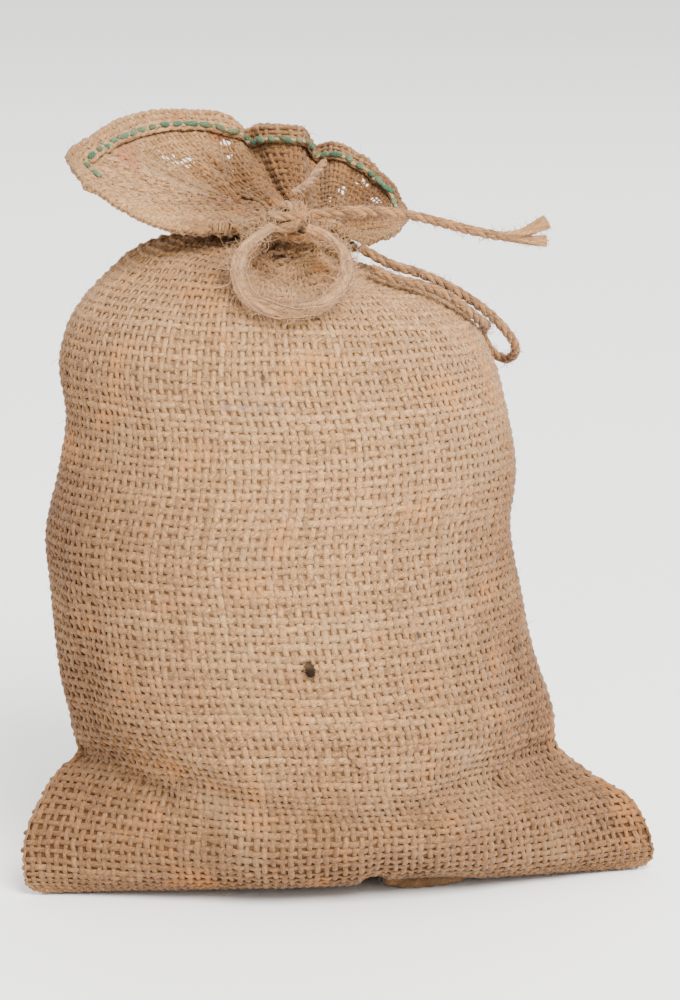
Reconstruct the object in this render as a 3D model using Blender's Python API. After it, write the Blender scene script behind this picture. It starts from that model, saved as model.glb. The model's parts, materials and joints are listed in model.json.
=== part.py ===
"""A small filled hessian sack, 20 x 30 cm when flat, tied at the neck with jute twine.

The sack stands on its sewn bottom. Its front faces -Y and +Z is up. The origin is on the floor,
under the middle of the sack. Lengths are in millimetres in the tables below and are turned to
metres by MM when a mesh or a curve is made.
"""

from collections import namedtuple
import math

import bmesh
import bpy
import numpy as np
from mathutils import Vector

MM = 0.001

MOUTH_WALL = 1.7          # thickness of the cloth wall above the tie
TWINE = 3.2               # diameter of the tie
LOOSE_TWINE = 5.6         # diameter where the front loop has come untwisted
GAP = 0.3                 # clearance between pieces that touch

COLUMNS = 68              # points round the cloth, an even number
RING_STEP = 6.6           # distance between the rings of the body
MOUTH_RINGS = 7           # rings from the tie to the rim
THROAT = 0.16             # how far up the mouth the inside starts, as a share
GATHERS = 17              # pleats that the tie draws in
GATHER_DEPTH = 0.9        # how deep the pleats are at the tie
GATHER_RINGS = 6          # rings below the tie over which the pleats fade out
MOUTH_BEND = (0.55, 0.55, 0.28)   # where the mouth's arcs turn up, as shares of their run

OUTLINE_SAMPLES = 400     # points that one half of an outline is measured with
ROUTE_SAMPLES = 40        # points for each point of a route, to measure along it
WRAP_POINTS = 44          # points of the turn of twine round the neck
TWINE_STEP = 1.6          # distance between the points of a run of twine, in diameters

# Level curves of the sack from the floor up: where the side folds are (x and z of each, and the y
# of both), how far the front and the back reach (y, z) and how flat the section tapers at the side
# folds (1 is an ellipse, over 2 is a lens with flat tails, as in the two bottom corners).
Level = namedtuple(
    "Level", "left_x left_z right_x right_z front_y front_z back_y back_z tail fold_y"
)
LEVELS = [
    Level(-95.0, 0.0, 95.0, 0.0, -31.0, 0.0, 29.0, 0.0, 1.8, -14.0),
    Level(-98.8, 2.2, 98.6, 2.2, -35.5, 2.4, 34.0, 2.4, 2.0, -14.0),
    Level(-99.8, 9.0, 99.8, 8.5, -40.5, 9.5, 39.5, 9.5, 2.4, -12.5),
    Level(-99.3, 17.5, 97.0, 16.5, -44.5, 18.0, 43.5, 18.0, 2.7, -9.5),
    Level(-96.0, 27.0, 92.0, 23.5, -47.5, 27.0, 46.5, 27.0, 2.6, -6.5),
    Level(-90.0, 35.5, 79.0, 30.5, -49.6, 35.5, 49.0, 35.5, 2.0, -3.5),
    Level(-83.2, 42.5, 71.0, 38.0, -50.8, 44.0, 50.2, 44.0, 1.45, -1.5),
    Level(-84.4, 53.0, 68.6, 51.0, -51.6, 55.0, 51.4, 55.0, 1.15, 0.0),
    Level(-88.0, 70.0, 62.4, 70.0, -52.0, 71.0, 52.0, 71.0, 1.0, 0.0),
    Level(-90.6, 96.0, 57.0, 96.0, -52.0, 96.0, 52.0, 96.0, 1.0, 0.0),
    Level(-91.6, 112.0, 54.0, 112.0, -51.6, 112.0, 51.5, 112.0, 1.0, 0.0),
    Level(-87.2, 133.0, 56.0, 133.0, -50.6, 133.0, 50.5, 133.0, 1.0, 0.0),
    Level(-85.6, 149.0, 53.5, 149.0, -49.4, 149.0, 49.0, 149.0, 1.0, 0.0),
    Level(-87.0, 167.0, 48.8, 165.0, -46.5, 166.0, 46.0, 166.0, 1.0, 0.0),
    Level(-83.4, 181.0, 42.6, 175.2, -41.8, 179.5, 41.0, 179.0, 1.0, 0.0),
    Level(-73.2, 193.0, 30.0, 184.2, -33.5, 190.8, 32.5, 190.0, 1.0, 0.0),
    Level(-61.0, 201.2, 18.5, 189.8, -26.0, 197.2, 25.0, 196.2, 1.0, 0.0),
    Level(-47.0, 205.2, 8.6, 193.8, -19.5, 200.8, 18.5, 199.8, 1.0, 0.0),
    Level(-35.0, 204.6, 3.2, 196.8, -15.0, 202.6, 14.0, 201.8, 1.0, 0.0),
    Level(-32.5, 208.2, 1.5, 200.4, -13.6, 206.0, 12.6, 205.2, 1.0, 0.0),
    Level(-33.5, 212.4, 2.5, 204.4, -14.4, 210.2, 13.4, 209.4, 1.0, 0.0),
]
WRAP_LEVEL = len(LEVELS) - 2

# The rim of the open mouth, from the left tip round the front to the right tip and back.
Station = namedtuple("Station", "x y z")
RIM = [
    Station(-84.5, -2.5, 231.0),
    Station(-81.6, -11.0, 224.0),
    Station(-74.0, -18.5, 217.5),
    Station(-61.5, -25.5, 210.8),
    Station(-47.0, -25.5, 208.6),
    Station(-33.0, -20.5, 211.5),
    Station(-19.0, -18.4, 216.2),
    Station(-5.0, -16.0, 210.8),
    Station(9.0, -11.0, 205.2),
    Station(22.8, 5.0, 209.4),
    Station(20.6, 18.5, 217.0),
    Station(10.5, 27.5, 226.0),
    Station(-4.0, 33.0, 232.5),
    Station(-16.0, 31.0, 235.5),
    Station(-27.5, 36.5, 237.4),
    Station(-45.0, 36.0, 240.3),
    Station(-60.0, 31.0, 239.2),
    Station(-74.5, 16.5, 235.8),
]


# ------------------------------------------------------------------ smooth curves through rows

def hermite(rows, knots, at):
    """Cubic values at `at` through rows whose positions are `knots`."""
    rows = np.asarray(rows, float)
    slopes = np.gradient(rows, knots, axis=0)
    i = np.clip(np.searchsorted(knots, at, side="right") - 1, 0, len(knots) - 2)
    span = knots[i + 1] - knots[i]
    s = ((at - knots[i]) / span)[:, None]
    span = span[:, None]
    return (
        (2 * s**3 - 3 * s**2 + 1) * rows[i]
        + (s**3 - 2 * s**2 + s) * span * slopes[i]
        + (3 * s**2 - 2 * s**3) * rows[i + 1]
        + (s**3 - s**2) * span * slopes[i + 1]
    )


def chord_knots(points):
    steps = np.linalg.norm(np.diff(np.asarray(points, float), axis=0), axis=1)
    return np.concatenate([[0.0], np.cumsum(steps)])


def evenly(points, count):
    """`count` points at equal distances along an open polyline, both ends included."""
    knots = chord_knots(points)
    wanted = np.linspace(0.0, knots[-1], count)
    return np.column_stack([np.interp(wanted, knots, points[:, k]) for k in range(3)])


def smooth_route(route, count, closed=False):
    """Evenly spaced points of a smooth curve through a hand-set route."""
    rows = np.asarray(route, float)
    if closed:
        rows = np.vstack([rows[-2:], rows, rows[:3]])
    knots = chord_knots(rows)
    low, high = (knots[2], knots[-3]) if closed else (knots[0], knots[-1])
    fine = hermite(rows, knots, np.linspace(low, high, ROUTE_SAMPLES * len(rows)))
    points = evenly(fine, count + 1 if closed else count)
    return points[:-1] if closed else points


# ------------------------------------------------------------------ the sack

def level_outline(level, count):
    """Points round one level of the sack: left fold, front, right fold, back."""
    half = count // 2
    turn = np.linspace(0.0, math.pi, OUTLINE_SAMPLES)
    along = -np.cos(turn)
    bulge = np.sin(turn)
    share = (1.0 + along) / 2.0
    x = level.left_x + (level.right_x - level.left_x) * share
    side_z = level.left_z + (level.right_z - level.left_z) * share
    middle_z = (level.left_z + level.right_z) / 2.0

    def face(reach, z):
        y = level.fold_y + (reach - level.fold_y) * bulge**level.tail
        return np.column_stack([x, y, side_z + (z - middle_z) * bulge])

    front = evenly(face(level.front_y, level.front_z), half + 1)[:-1]
    back = evenly(face(level.back_y, level.back_z)[::-1], half + 1)[:-1]
    return np.vstack([front, back])


def body_levels():
    """The table's levels and the ones between them, a ring step apart."""
    rows = np.array(LEVELS, float)
    knots = chord_knots(rows[:, [0, 1, 4, 5]])   # left fold and front
    wanted = []
    for low, high in zip(knots[:-1], knots[1:]):
        steps = max(1, round((high - low) / RING_STEP))
        wanted.extend(np.linspace(low, high, steps, endpoint=False))
    wanted.append(knots[-1])
    filled = hermite(rows, knots, np.array(wanted))
    return [Level(*row) for row in filled]


def gathered(outline, depth):
    """Draws an outline in and out in pleats, `depth` either way."""
    centre = outline.mean(axis=0)
    away = outline - centre
    away[:, 2] = 0.0
    away /= np.linalg.norm(away, axis=1)[:, None]
    wave = np.cos(2.0 * math.pi * GATHERS * np.arange(len(outline)) / len(outline))
    return outline + away * (depth * wave)[:, None]


def mouth_rings(neck):
    """Rings from the gathered neck out to the rim, on arcs that run out before they run up."""
    rim = smooth_route(RIM, COLUMNS, closed=True)
    out = rim - neck
    bend = neck + out * np.array(MOUTH_BEND)
    rings = []
    for ring in range(1, MOUTH_RINGS + 1):
        s = ring / MOUTH_RINGS
        rings.append((1 - s) ** 2 * neck + 2 * s * (1 - s) * bend + s**2 * rim)
    return rings


def outward_normals(rings):
    """One normal for each point of a stack of closed rings."""
    grid = np.array(rings)
    across = np.roll(grid, -1, axis=1) - np.roll(grid, 1, axis=1)
    upward = np.gradient(grid, axis=0)
    normals = np.cross(across, upward)
    return normals / np.linalg.norm(normals, axis=2)[:, :, None]


def sack_rings():
    """All rings of the closed solid: floor, body, neck, mouth outside, rim, mouth inside."""
    levels = body_levels()
    outlines = [level_outline(level, COLUMNS) for level in levels]
    for step in range(GATHER_RINGS):
        row = len(outlines) - 1 - step
        outlines[row] = gathered(outlines[row], GATHER_DEPTH * (1.0 - step / GATHER_RINGS))
    mouth = mouth_rings(outlines[-1])
    skin = [outlines[-1]] + mouth
    inside = np.array(skin) - outward_normals(skin) * MOUTH_WALL
    first = max(1, round(THROAT * MOUTH_RINGS))
    return outlines + mouth + list(inside[:first - 1:-1])


def make_sack(collection):
    rings = sack_rings()
    mesh = bmesh.new()
    grid = [[mesh.verts.new(Vector(point) * MM) for point in ring] for ring in rings]
    for lower, upper in zip(grid[:-1], grid[1:]):
        for i in range(COLUMNS):
            j = (i + 1) % COLUMNS
            mesh.faces.new((lower[i], lower[j], upper[j], upper[i]))
    mesh.faces.new(tuple(reversed(grid[0])))
    throat = mesh.verts.new(Vector(rings[-1].mean(axis=0)) * MM)
    for i in range(COLUMNS):
        mesh.faces.new((grid[-1][i], grid[-1][(i + 1) % COLUMNS], throat))
    data = bpy.data.meshes.new("sack_cloth")
    mesh.to_mesh(data)
    mesh.free()
    data.shade_smooth()
    sack = bpy.data.objects.new("sack_cloth", data)
    collection.objects.link(sack)
    return sack


# ------------------------------------------------------------------ the tie

# Each run of twine is a smooth curve through these route points.
FRONT_LOOP = [
    (-23.6, -26.8, 211.2), (-30.2, -29.2, 207.2), (-34.2, -32.2, 202.2), (-34.8, -35.4, 197.2),
    (-33.0, -38.4, 192.6), (-28.5, -40.6, 189.4), (-21.4, -41.6, 188.0), (-13.5, -41.2, 188.6),
    (-6.5, -38.8, 192.2), (-2.6, -34.8, 197.8), (-3.0, -31.2, 203.6), (-7.2, -28.8, 207.8),
    (-13.2, -27.2, 210.4),
]
BACK_LOOP = [
    (5.2, -11.4, 201.8), (14.5, -11.2, 196.6), (24.3, -8.4, 193.0), (32.5, -5.8, 189.0),
    (40.8, -3.4, 183.8), (47.5, -1.2, 178.5), (52.8, 1.2, 173.0), (56.4, 5.0, 167.8),
    (57.2, 10.6, 163.6), (55.2, 16.4, 161.4), (51.8, 20.2, 163.2), (49.2, 20.0, 167.4),
    (48.2, 15.0, 171.2), (47.8, 8.4, 173.4), (46.6, 1.6, 174.8), (43.8, -4.2, 177.2),
    (40.2, -7.6, 180.4), (35.0, -10.6, 184.6), (29.9, -12.8, 187.8), (22.8, -15.6, 190.8),
    (14.0, -18.4, 193.4), (7.6, -18.2, 196.6),
]
END_RIGHT = [
    (-11.4, -23.6, 214.0), (-1.2, -24.0, 215.0), (9.9, -21.4, 214.3), (19.6, -18.0, 212.5),
    (29.3, -15.0, 209.7), (39.1, -12.0, 206.7), (48.8, -10.0, 204.3), (56.9, -8.5, 203.1),
    (63.2, -7.5, 203.2),
]
END_TUCKED = [
    (-16.6, -18.6, 219.8), (-14.4, -14.4, 220.2), (-11.4, -9.0, 220.8), (-8.5, -3.0, 222.3),
    (-5.8, 3.0, 224.0), (-3.2, 8.0, 225.9),
]
KNOT_CENTRE = (-18.4, -22.6, 213.4)
KNOT_RADII = (6.4, 3.9, 4.6)
FRAYED_TIP = 2.5          # how many times wider the frayed tip of the free end is

TWINE_SIDES = 2           # bevel resolution of the twine, for 8 sides


def twine_curve(name, points, diameter, collection, closed=False):
    curve = bpy.data.curves.new(name, "CURVE")
    curve.dimensions = "3D"
    curve.bevel_depth = diameter / 2.0 * MM
    curve.bevel_resolution = TWINE_SIDES
    curve.use_fill_caps = not closed
    spline = curve.splines.new("POLY")
    spline.points.add(len(points) - 1)
    for control, point in zip(spline.points, points):
        control.co = (*(Vector(point) * MM), 1.0)
    spline.use_cyclic_u = closed
    spline.use_smooth = True
    twine = bpy.data.objects.new(name, curve)
    collection.objects.link(twine)
    return twine


def make_run(name, route, diameter, collection):
    """A loop or an end of twine, with a point about every two diameters of the plain twine."""
    length = chord_knots(smooth_route(route, 200))[-1]
    points = smooth_route(route, round(length / (TWINE_STEP * TWINE)))
    return twine_curve(name, points, diameter, collection)


def make_wrap(collection):
    """The turn of twine round the gathered neck, just clear of its pleats."""
    neck = level_outline(LEVELS[WRAP_LEVEL], WRAP_POINTS)
    centre = neck.mean(axis=0)
    away = neck - centre
    away[:, 2] = 0.0
    away /= np.linalg.norm(away, axis=1)[:, None]
    stand_off = GATHER_DEPTH + TWINE / 2.0 + 2.0 * GAP
    return twine_curve("tie_wrap", neck + away * stand_off, TWINE, collection, closed=True)


def make_knot(collection):
    bpy.ops.mesh.primitive_uv_sphere_add(segments=24, ring_count=12, radius=1.0)
    knot = bpy.context.object
    knot.name = knot.data.name = "tie_knot"
    for vertex in knot.data.vertices:
        vertex.co = Vector([c * r * MM for c, r in zip(vertex.co, KNOT_RADII)])
    knot.location = Vector(KNOT_CENTRE) * MM
    knot.data.shade_smooth()
    for owner in list(knot.users_collection):
        owner.objects.unlink(knot)
    collection.objects.link(knot)
    return knot


# ------------------------------------------------------------------ finish and assembly

def principled(name, colour, roughness):
    material = bpy.data.materials.new(name)
    material.use_nodes = True
    shader = material.node_tree.nodes["Principled BSDF"]
    shader.inputs["Base Color"].default_value = (*colour, 1.0)
    shader.inputs["Roughness"].default_value = roughness
    shader.inputs["Metallic"].default_value = 0.0
    return material


def clear_scene():
    for thing in list(bpy.data.objects):
        bpy.data.objects.remove(thing, do_unlink=True)


def main():
    clear_scene()
    parts = bpy.data.collections.new("hessian_sack")
    bpy.context.scene.collection.children.link(parts)

    sack = make_sack(parts)
    sack.data.materials.append(principled("hessian", (0.56, 0.38, 0.23), 0.95))

    frayed = make_run("tie_end_right", END_RIGHT, TWINE, parts)
    frayed.data.splines[0].points[-1].radius = FRAYED_TIP
    pieces = [
        make_wrap(parts),
        make_knot(parts),
        make_run("tie_loop_front", FRONT_LOOP, LOOSE_TWINE, parts),
        make_run("tie_loop_back", BACK_LOOP, TWINE, parts),
        frayed,
        make_run("tie_end_tucked", END_TUCKED, TWINE, parts),
    ]
    for piece in pieces:
        piece.data.materials.append(principled(piece.name + "_jute", (0.55, 0.40, 0.26), 0.9))


main()
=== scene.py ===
import json
import math

import bmesh
import bpy
import numpy as np
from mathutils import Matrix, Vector

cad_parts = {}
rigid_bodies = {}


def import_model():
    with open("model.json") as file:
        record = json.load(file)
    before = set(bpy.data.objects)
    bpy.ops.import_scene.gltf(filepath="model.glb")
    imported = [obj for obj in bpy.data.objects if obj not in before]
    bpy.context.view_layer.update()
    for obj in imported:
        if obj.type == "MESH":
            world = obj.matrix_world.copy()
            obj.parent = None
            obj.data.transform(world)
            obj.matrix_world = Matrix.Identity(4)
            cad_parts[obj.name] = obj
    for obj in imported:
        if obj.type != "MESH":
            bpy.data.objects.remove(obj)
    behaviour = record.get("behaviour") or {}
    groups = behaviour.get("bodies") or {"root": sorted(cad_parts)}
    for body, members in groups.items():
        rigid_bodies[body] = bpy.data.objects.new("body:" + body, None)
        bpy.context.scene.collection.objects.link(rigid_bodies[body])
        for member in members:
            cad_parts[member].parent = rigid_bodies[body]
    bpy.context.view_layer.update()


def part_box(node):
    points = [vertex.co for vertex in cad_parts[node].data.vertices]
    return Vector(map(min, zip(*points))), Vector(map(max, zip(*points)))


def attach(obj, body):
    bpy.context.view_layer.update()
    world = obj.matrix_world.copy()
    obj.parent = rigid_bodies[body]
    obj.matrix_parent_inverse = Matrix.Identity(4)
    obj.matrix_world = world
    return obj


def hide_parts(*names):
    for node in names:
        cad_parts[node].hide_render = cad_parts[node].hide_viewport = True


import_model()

# The cloth tables below are in millimetres, as the sack is cut. One of them is this long in the frame.
sackLow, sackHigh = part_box("sack_cloth")
sackHeight = 241.2
mm = (sackHigh.z - sackLow.z) / sackHeight


cameraSetup = {
    "azimuth": -8.0,        # degrees round the sack, from straight in front
    "elevation": 12.0,
    "distance": 1300.0,
    "frameHeight": 312.0,   # how much the picture's long side takes in at the sack
    "aimHeight": 120.8,
    "aimRight": 0.6,
    "sensorWidth": 36.0,
}


def makeCamera(setup):
    azimuth, elevation = math.radians(setup["azimuth"]), math.radians(setup["elevation"])
    back = Vector((math.sin(azimuth) * math.cos(elevation),
                   -math.cos(azimuth) * math.cos(elevation), math.sin(elevation)))
    right = Vector((math.cos(azimuth), math.sin(azimuth), 0.0))
    aim = Vector((0, 0, setup["aimHeight"] * mm)) + right * setup["aimRight"] * mm
    data = bpy.data.cameras.new("sackCamera")
    data.sensor_width = setup["sensorWidth"]
    data.lens = data.sensor_width * setup["distance"] / setup["frameHeight"]
    camera = bpy.data.objects.new("sackCamera", data)
    camera.location = aim + back * setup["distance"] * mm
    camera.rotation_euler = (-back).to_track_quat("-Z", "Y").to_euler()
    bpy.context.scene.collection.objects.link(camera)
    bpy.context.scene.camera = camera
    print("camera set", setup["azimuth"], setup["elevation"])


makeCamera(cameraSetup)


# Node helpers, for geometry and for materials alike.

def addNode(tree, kind, inputs=None, **settings):
    node = tree.nodes.new(kind)
    for name, value in settings.items():
        setattr(node, name, value)
    for key, value in (inputs or {}).items():
        socket = node.inputs[key]
        if isinstance(value, bpy.types.NodeSocket):
            tree.links.new(value, socket)
        else:
            socket.default_value = value
    return node


# The same, for a node that is wanted for its first output only.
def outNode(tree, kind, inputs=None, **settings):
    return addNode(tree, kind, inputs, **settings).outputs[0]


def mathNode(tree, operation, *values):
    return outNode(tree, "ShaderNodeMath", dict(enumerate(values)), operation=operation)


def times(tree, first, second):
    return mathNode(tree, "MULTIPLY", first, second)


def vectorNode(tree, operation, *values):
    node = addNode(tree, "ShaderNodeVectorMath", dict(enumerate(values)), operation=operation)
    return node.outputs["Value" if operation in ("LENGTH", "DOT_PRODUCT") else "Vector"]


def scaleVector(tree, vector, factor):
    return addNode(tree, "ShaderNodeVectorMath", {0: vector, "Scale": factor},
                   operation="SCALE").outputs["Vector"]


def noiseNode(tree, place, scale, detail=2.0, roughness=0.5):
    return addNode(tree, "ShaderNodeTexNoise", {"Vector": place, "Scale": scale, "Detail": detail,
                                                "Roughness": roughness}).outputs


def mapRange(tree, value, fromRange, toRange, **settings):
    return outNode(tree, "ShaderNodeMapRange",
                   {"Value": value, 1: fromRange[0], 2: fromRange[1], 3: toRange[0],
                    4: toRange[1]}, **settings)


def mixColour(tree, factor, first, second, **settings):
    return addNode(tree, "ShaderNodeMix", {0: factor, 6: first, 7: second}, data_type="RGBA",
                   clamp_factor=True, **settings).outputs[2]


def combine(tree, x, y, z):
    return outNode(tree, "ShaderNodeCombineXYZ", {0: x, 1: y, 2: z})


def randomValue(tree, low, high, seed, **inputs):
    return addNode(tree, "FunctionNodeRandomValue", {2: low, 3: high, "Seed": seed, **inputs},
                   data_type="FLOAT").outputs[1]


def storeField(tree, geometry, name, value, kind="FLOAT", domain="POINT"):
    return outNode(tree, "GeometryNodeStoreNamedAttribute",
                   {"Geometry": geometry, "Name": name, "Value": value}, data_type=kind,
                   domain=domain)


# Instances turned about their own Z by up to `angle`.
def spinRotation(tree, rotation, angle):
    turn = outNode(tree, "FunctionNodeAxisAngleToRotation",
                   {"Axis": (0.0, 0.0, 1.0), "Angle": angle})
    return outNode(tree, "FunctionNodeRotateRotation", {"Rotation": rotation, "Rotate By": turn},
                   rotation_space="LOCAL")


# An empty geometry tree with named inputs, and those inputs as sockets.
def newTree(name, floats, wholes):
    tree = bpy.data.node_groups.new(name, "GeometryNodeTree")
    for label, way, kind in (("Geometry", "INPUT", "Geometry"), ("Geometry", "OUTPUT", "Geometry"),
                             *((label, "INPUT", "Float") for label in floats),
                             *((label, "INPUT", "Int") for label in wholes)):
        tree.interface.new_socket(name=label, in_out=way, socket_type="NodeSocket" + kind)
    return tree, addNode(tree, "NodeGroupInput").outputs


def closeTree(tree, geometry, material):
    real = outNode(tree, "GeometryNodeRealizeInstances", {"Geometry": geometry})
    painted = outNode(tree, "GeometryNodeSetMaterial", {"Geometry": real, "Material": material})
    addNode(tree, "NodeGroupOutput", {"Geometry": painted})
    return tree


def namedField(tree, name, kind="FLOAT"):
    return addNode(tree, "GeometryNodeInputNamedAttribute", {"Name": name},
                   data_type=kind).outputs["Attribute"]


# The plain mesh object that a tree makes of a source object, which is then removed.
def growMesh(source, tree, values, name):
    modifier = source.modifiers.new(tree.name, "NODES")
    modifier.node_group = tree
    for item in tree.interface.items_tree:
        if item.in_out == "INPUT" and item.name in values:
            modifier[item.identifier] = values[item.name]
    evaluated = source.evaluated_get(bpy.context.evaluated_depsgraph_get())
    mesh = bpy.data.meshes.new_from_object(evaluated)
    mesh.name = name
    bpy.data.objects.remove(source, do_unlink=True)
    piece = bpy.data.objects.new(name, mesh)
    bpy.context.scene.collection.objects.link(piece)
    print(name, len(mesh.polygons), "faces")
    return piece


# A mesh object from points in millimetres. fields holds a float or a vector for each point.
def meshObject(name, points, edges, faces, fields):
    mesh = bpy.data.meshes.new(name)
    mesh.from_pydata((points * mm).tolist(), edges, faces)
    for field, values in fields.items():
        kind, slot = ("FLOAT", "value") if values.ndim == 1 else ("FLOAT_VECTOR", "vector")
        layer = mesh.attributes.new(field, kind, "POINT")
        layer.data.foreach_set(slot, values.astype(np.float32).ravel())
    piece = bpy.data.objects.new(name, mesh)
    bpy.context.scene.collection.objects.link(piece)
    return piece


# An object of edge chains, from a list of point arrays, with a list of arrays for each field.
def lineObject(name, lines, closed, fields):
    starts = np.cumsum([0] + [len(line) for line in lines])
    edges = []
    for start, line in zip(starts, lines):
        chain = np.arange(start, start + len(line))
        pairs = np.column_stack([chain[:-1], chain[1:]])
        edges.append(np.vstack([pairs, [chain[-1], chain[0]]]) if closed else pairs)
    return meshObject(name, np.vstack(lines), np.vstack(edges).tolist(), [],
                      {field: np.concatenate(arrays) for field, arrays in fields.items()})


# Faces between rows of points that close round.
def ringFaces(rows, columns):
    return [(r * columns + c, r * columns + (c + 1) % columns,
             (r + 1) * columns + (c + 1) % columns, (r + 1) * columns + c)
            for r in range(rows - 1) for c in range(columns)]


# Smooth curves through given points.

def chordKnots(points):
    steps = np.linalg.norm(np.diff(np.asarray(points, float), axis=0), axis=1)
    return np.concatenate([[0.0], np.cumsum(steps)])


# Cubic values at `at` through rows that stand at `knots`.
def cubicThrough(rows, knots, at):
    rows = np.asarray(rows, float)
    slopes = np.gradient(rows, knots, axis=0)
    i = np.clip(np.searchsorted(knots, at, side="right") - 1, 0, len(knots) - 2)
    span = (knots[i + 1] - knots[i])[:, None]
    s = (np.asarray(at)[:, None] - knots[i][:, None]) / span
    return ((2 * s**3 - 3 * s**2 + 1) * rows[i] + (s**3 - 2 * s**2 + s) * span * slopes[i]
            + (3 * s**2 - 2 * s**3) * rows[i + 1] + (s**3 - s**2) * span * slopes[i + 1])


def evenly(points, count):
    knots = chordKnots(points)
    wanted = np.linspace(0.0, knots[-1], count)
    return np.column_stack([np.interp(wanted, knots, points[:, k]) for k in range(3)])


def smoothRoute(route, count, closed=False):
    rows = np.asarray(route, float)
    if closed:
        rows = np.vstack([rows[-2:], rows, rows[:3]])
    knots = chordKnots(rows)
    low, high = (knots[2], knots[-3]) if closed else (knots[0], knots[-1])
    points = evenly(cubicThrough(rows, knots, np.linspace(low, high, 40 * len(rows))),
                    count + 1 if closed else count)
    return points[:-1] if closed else points


# A smooth random curve along `at`, about -1 to 1, whose longest wave is `longest`.
def softNoise(rng, at, waves, longest):
    total = np.zeros_like(at, dtype=float)
    for k in range(waves):
        length = longest / 1.7**k
        total += np.sin(2 * math.pi * (at / length + rng.random())) / 1.35**k
    return total / 1.8


# Materials. Fibres and threads carry their own coordinates: "grain" runs along the fibres, and
# "tone" is a value for each thread, 0 to 1.
def newMaterial(name):
    material = bpy.data.materials.new(name)
    material.use_nodes = True
    tree = material.node_tree
    shader = tree.nodes["Principled BSDF"]
    return material, tree, shader


def makeFibreGroup():
    group = bpy.data.node_groups.new("fibreGrain", "ShaderNodeTree")
    for label, kind, way in (("Place", "Vector", "INPUT"), ("Tone", "Float", "INPUT"),
                             ("Base", "Color", "INPUT"), ("Dark", "Color", "INPUT"),
                             ("Light", "Color", "INPUT"), ("Fineness", "Float", "INPUT"),
                             ("Colour", "Color", "OUTPUT"), ("Height", "Float", "OUTPUT"),
                             ("Roughness", "Float", "OUTPUT")):
        group.interface.new_socket(name=label, in_out=way, socket_type="NodeSocket" + kind)
    given = addNode(group, "NodeGroupInput").outputs
    scaled = scaleVector(group, given["Place"], given["Fineness"])
    strands = noiseNode(group, scaled, 1.0, 4.0, 0.6)["Fac"]
    patches = noiseNode(group, scaled, 0.13)["Fac"]
    darkness = mapRange(group, strands, (0.51, 0.36), (0.0, 0.85))
    lightness = mapRange(group, strands, (0.52, 0.66), (0.0, 0.80))
    toned = mapRange(group, given["Tone"], (0.0, 1.0), (-0.5, 0.5))
    patchy = mathNode(group, "SUBTRACT", patches, 0.5)
    shift = mathNode(group, "MULTIPLY_ADD", patchy, 1.3, toned)
    towardsLight = mathNode(group, "MAXIMUM", shift, 0.0)
    towardsDark = mathNode(group, "MAXIMUM", times(group, shift, -1.0), 0.0)
    colour = given["Base"]
    for factor, goal in ((towardsDark, "Dark"), (towardsLight, "Light"),
                         (darkness, "Dark"), (lightness, "Light")):
        colour = mixColour(group, factor, colour, given[goal])
    rough = mapRange(group, strands, (0.0, 1.0), (0.98, 0.80))
    addNode(group, "NodeGroupOutput", {"Colour": colour, "Height": strands, "Roughness": rough})
    return group


fibreGroup = makeFibreGroup()


def linear(red, green, blue):
    channels = [c / 255.0 for c in (red, green, blue)]
    return (*[c / 12.92 if c <= 0.04045 else ((c + 0.055) / 1.055) ** 2.4 for c in channels], 1.0)


def attributeNode(tree, name):
    return addNode(tree, "ShaderNodeAttribute", attribute_name=name, attribute_type="GEOMETRY")


# A bump on a shader; its height is in millimetres.
def addRelief(tree, shader, height, strength, distance):
    relief = outNode(tree, "ShaderNodeBump", {"Height": height, "Strength": strength,
                                              "Distance": distance * mm})
    tree.links.new(relief, shader.inputs["Normal"])


shadeAndSoilTint = linear(172, 155, 136)     # the cloth is multiplied by this where it is fully darkened: painted shade on the cloth, own darker colour on the stray yarn
stainStretch = (1.0, 0.25, 1.0)      # a stain reaches further front to back, so it stays on the cloth


# Faint patches all over: how fine, where they start and are full, how strong, and the tint.
patchTints = [
    (0.045, 0.54, 0.70, 0.38, (138, 112, 78)),
    (0.060, 0.44, 0.30, 0.42, (166, 106, 50)),
    (0.22, 0.56, 0.72, 0.40, (104, 74, 42)),
]
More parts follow.
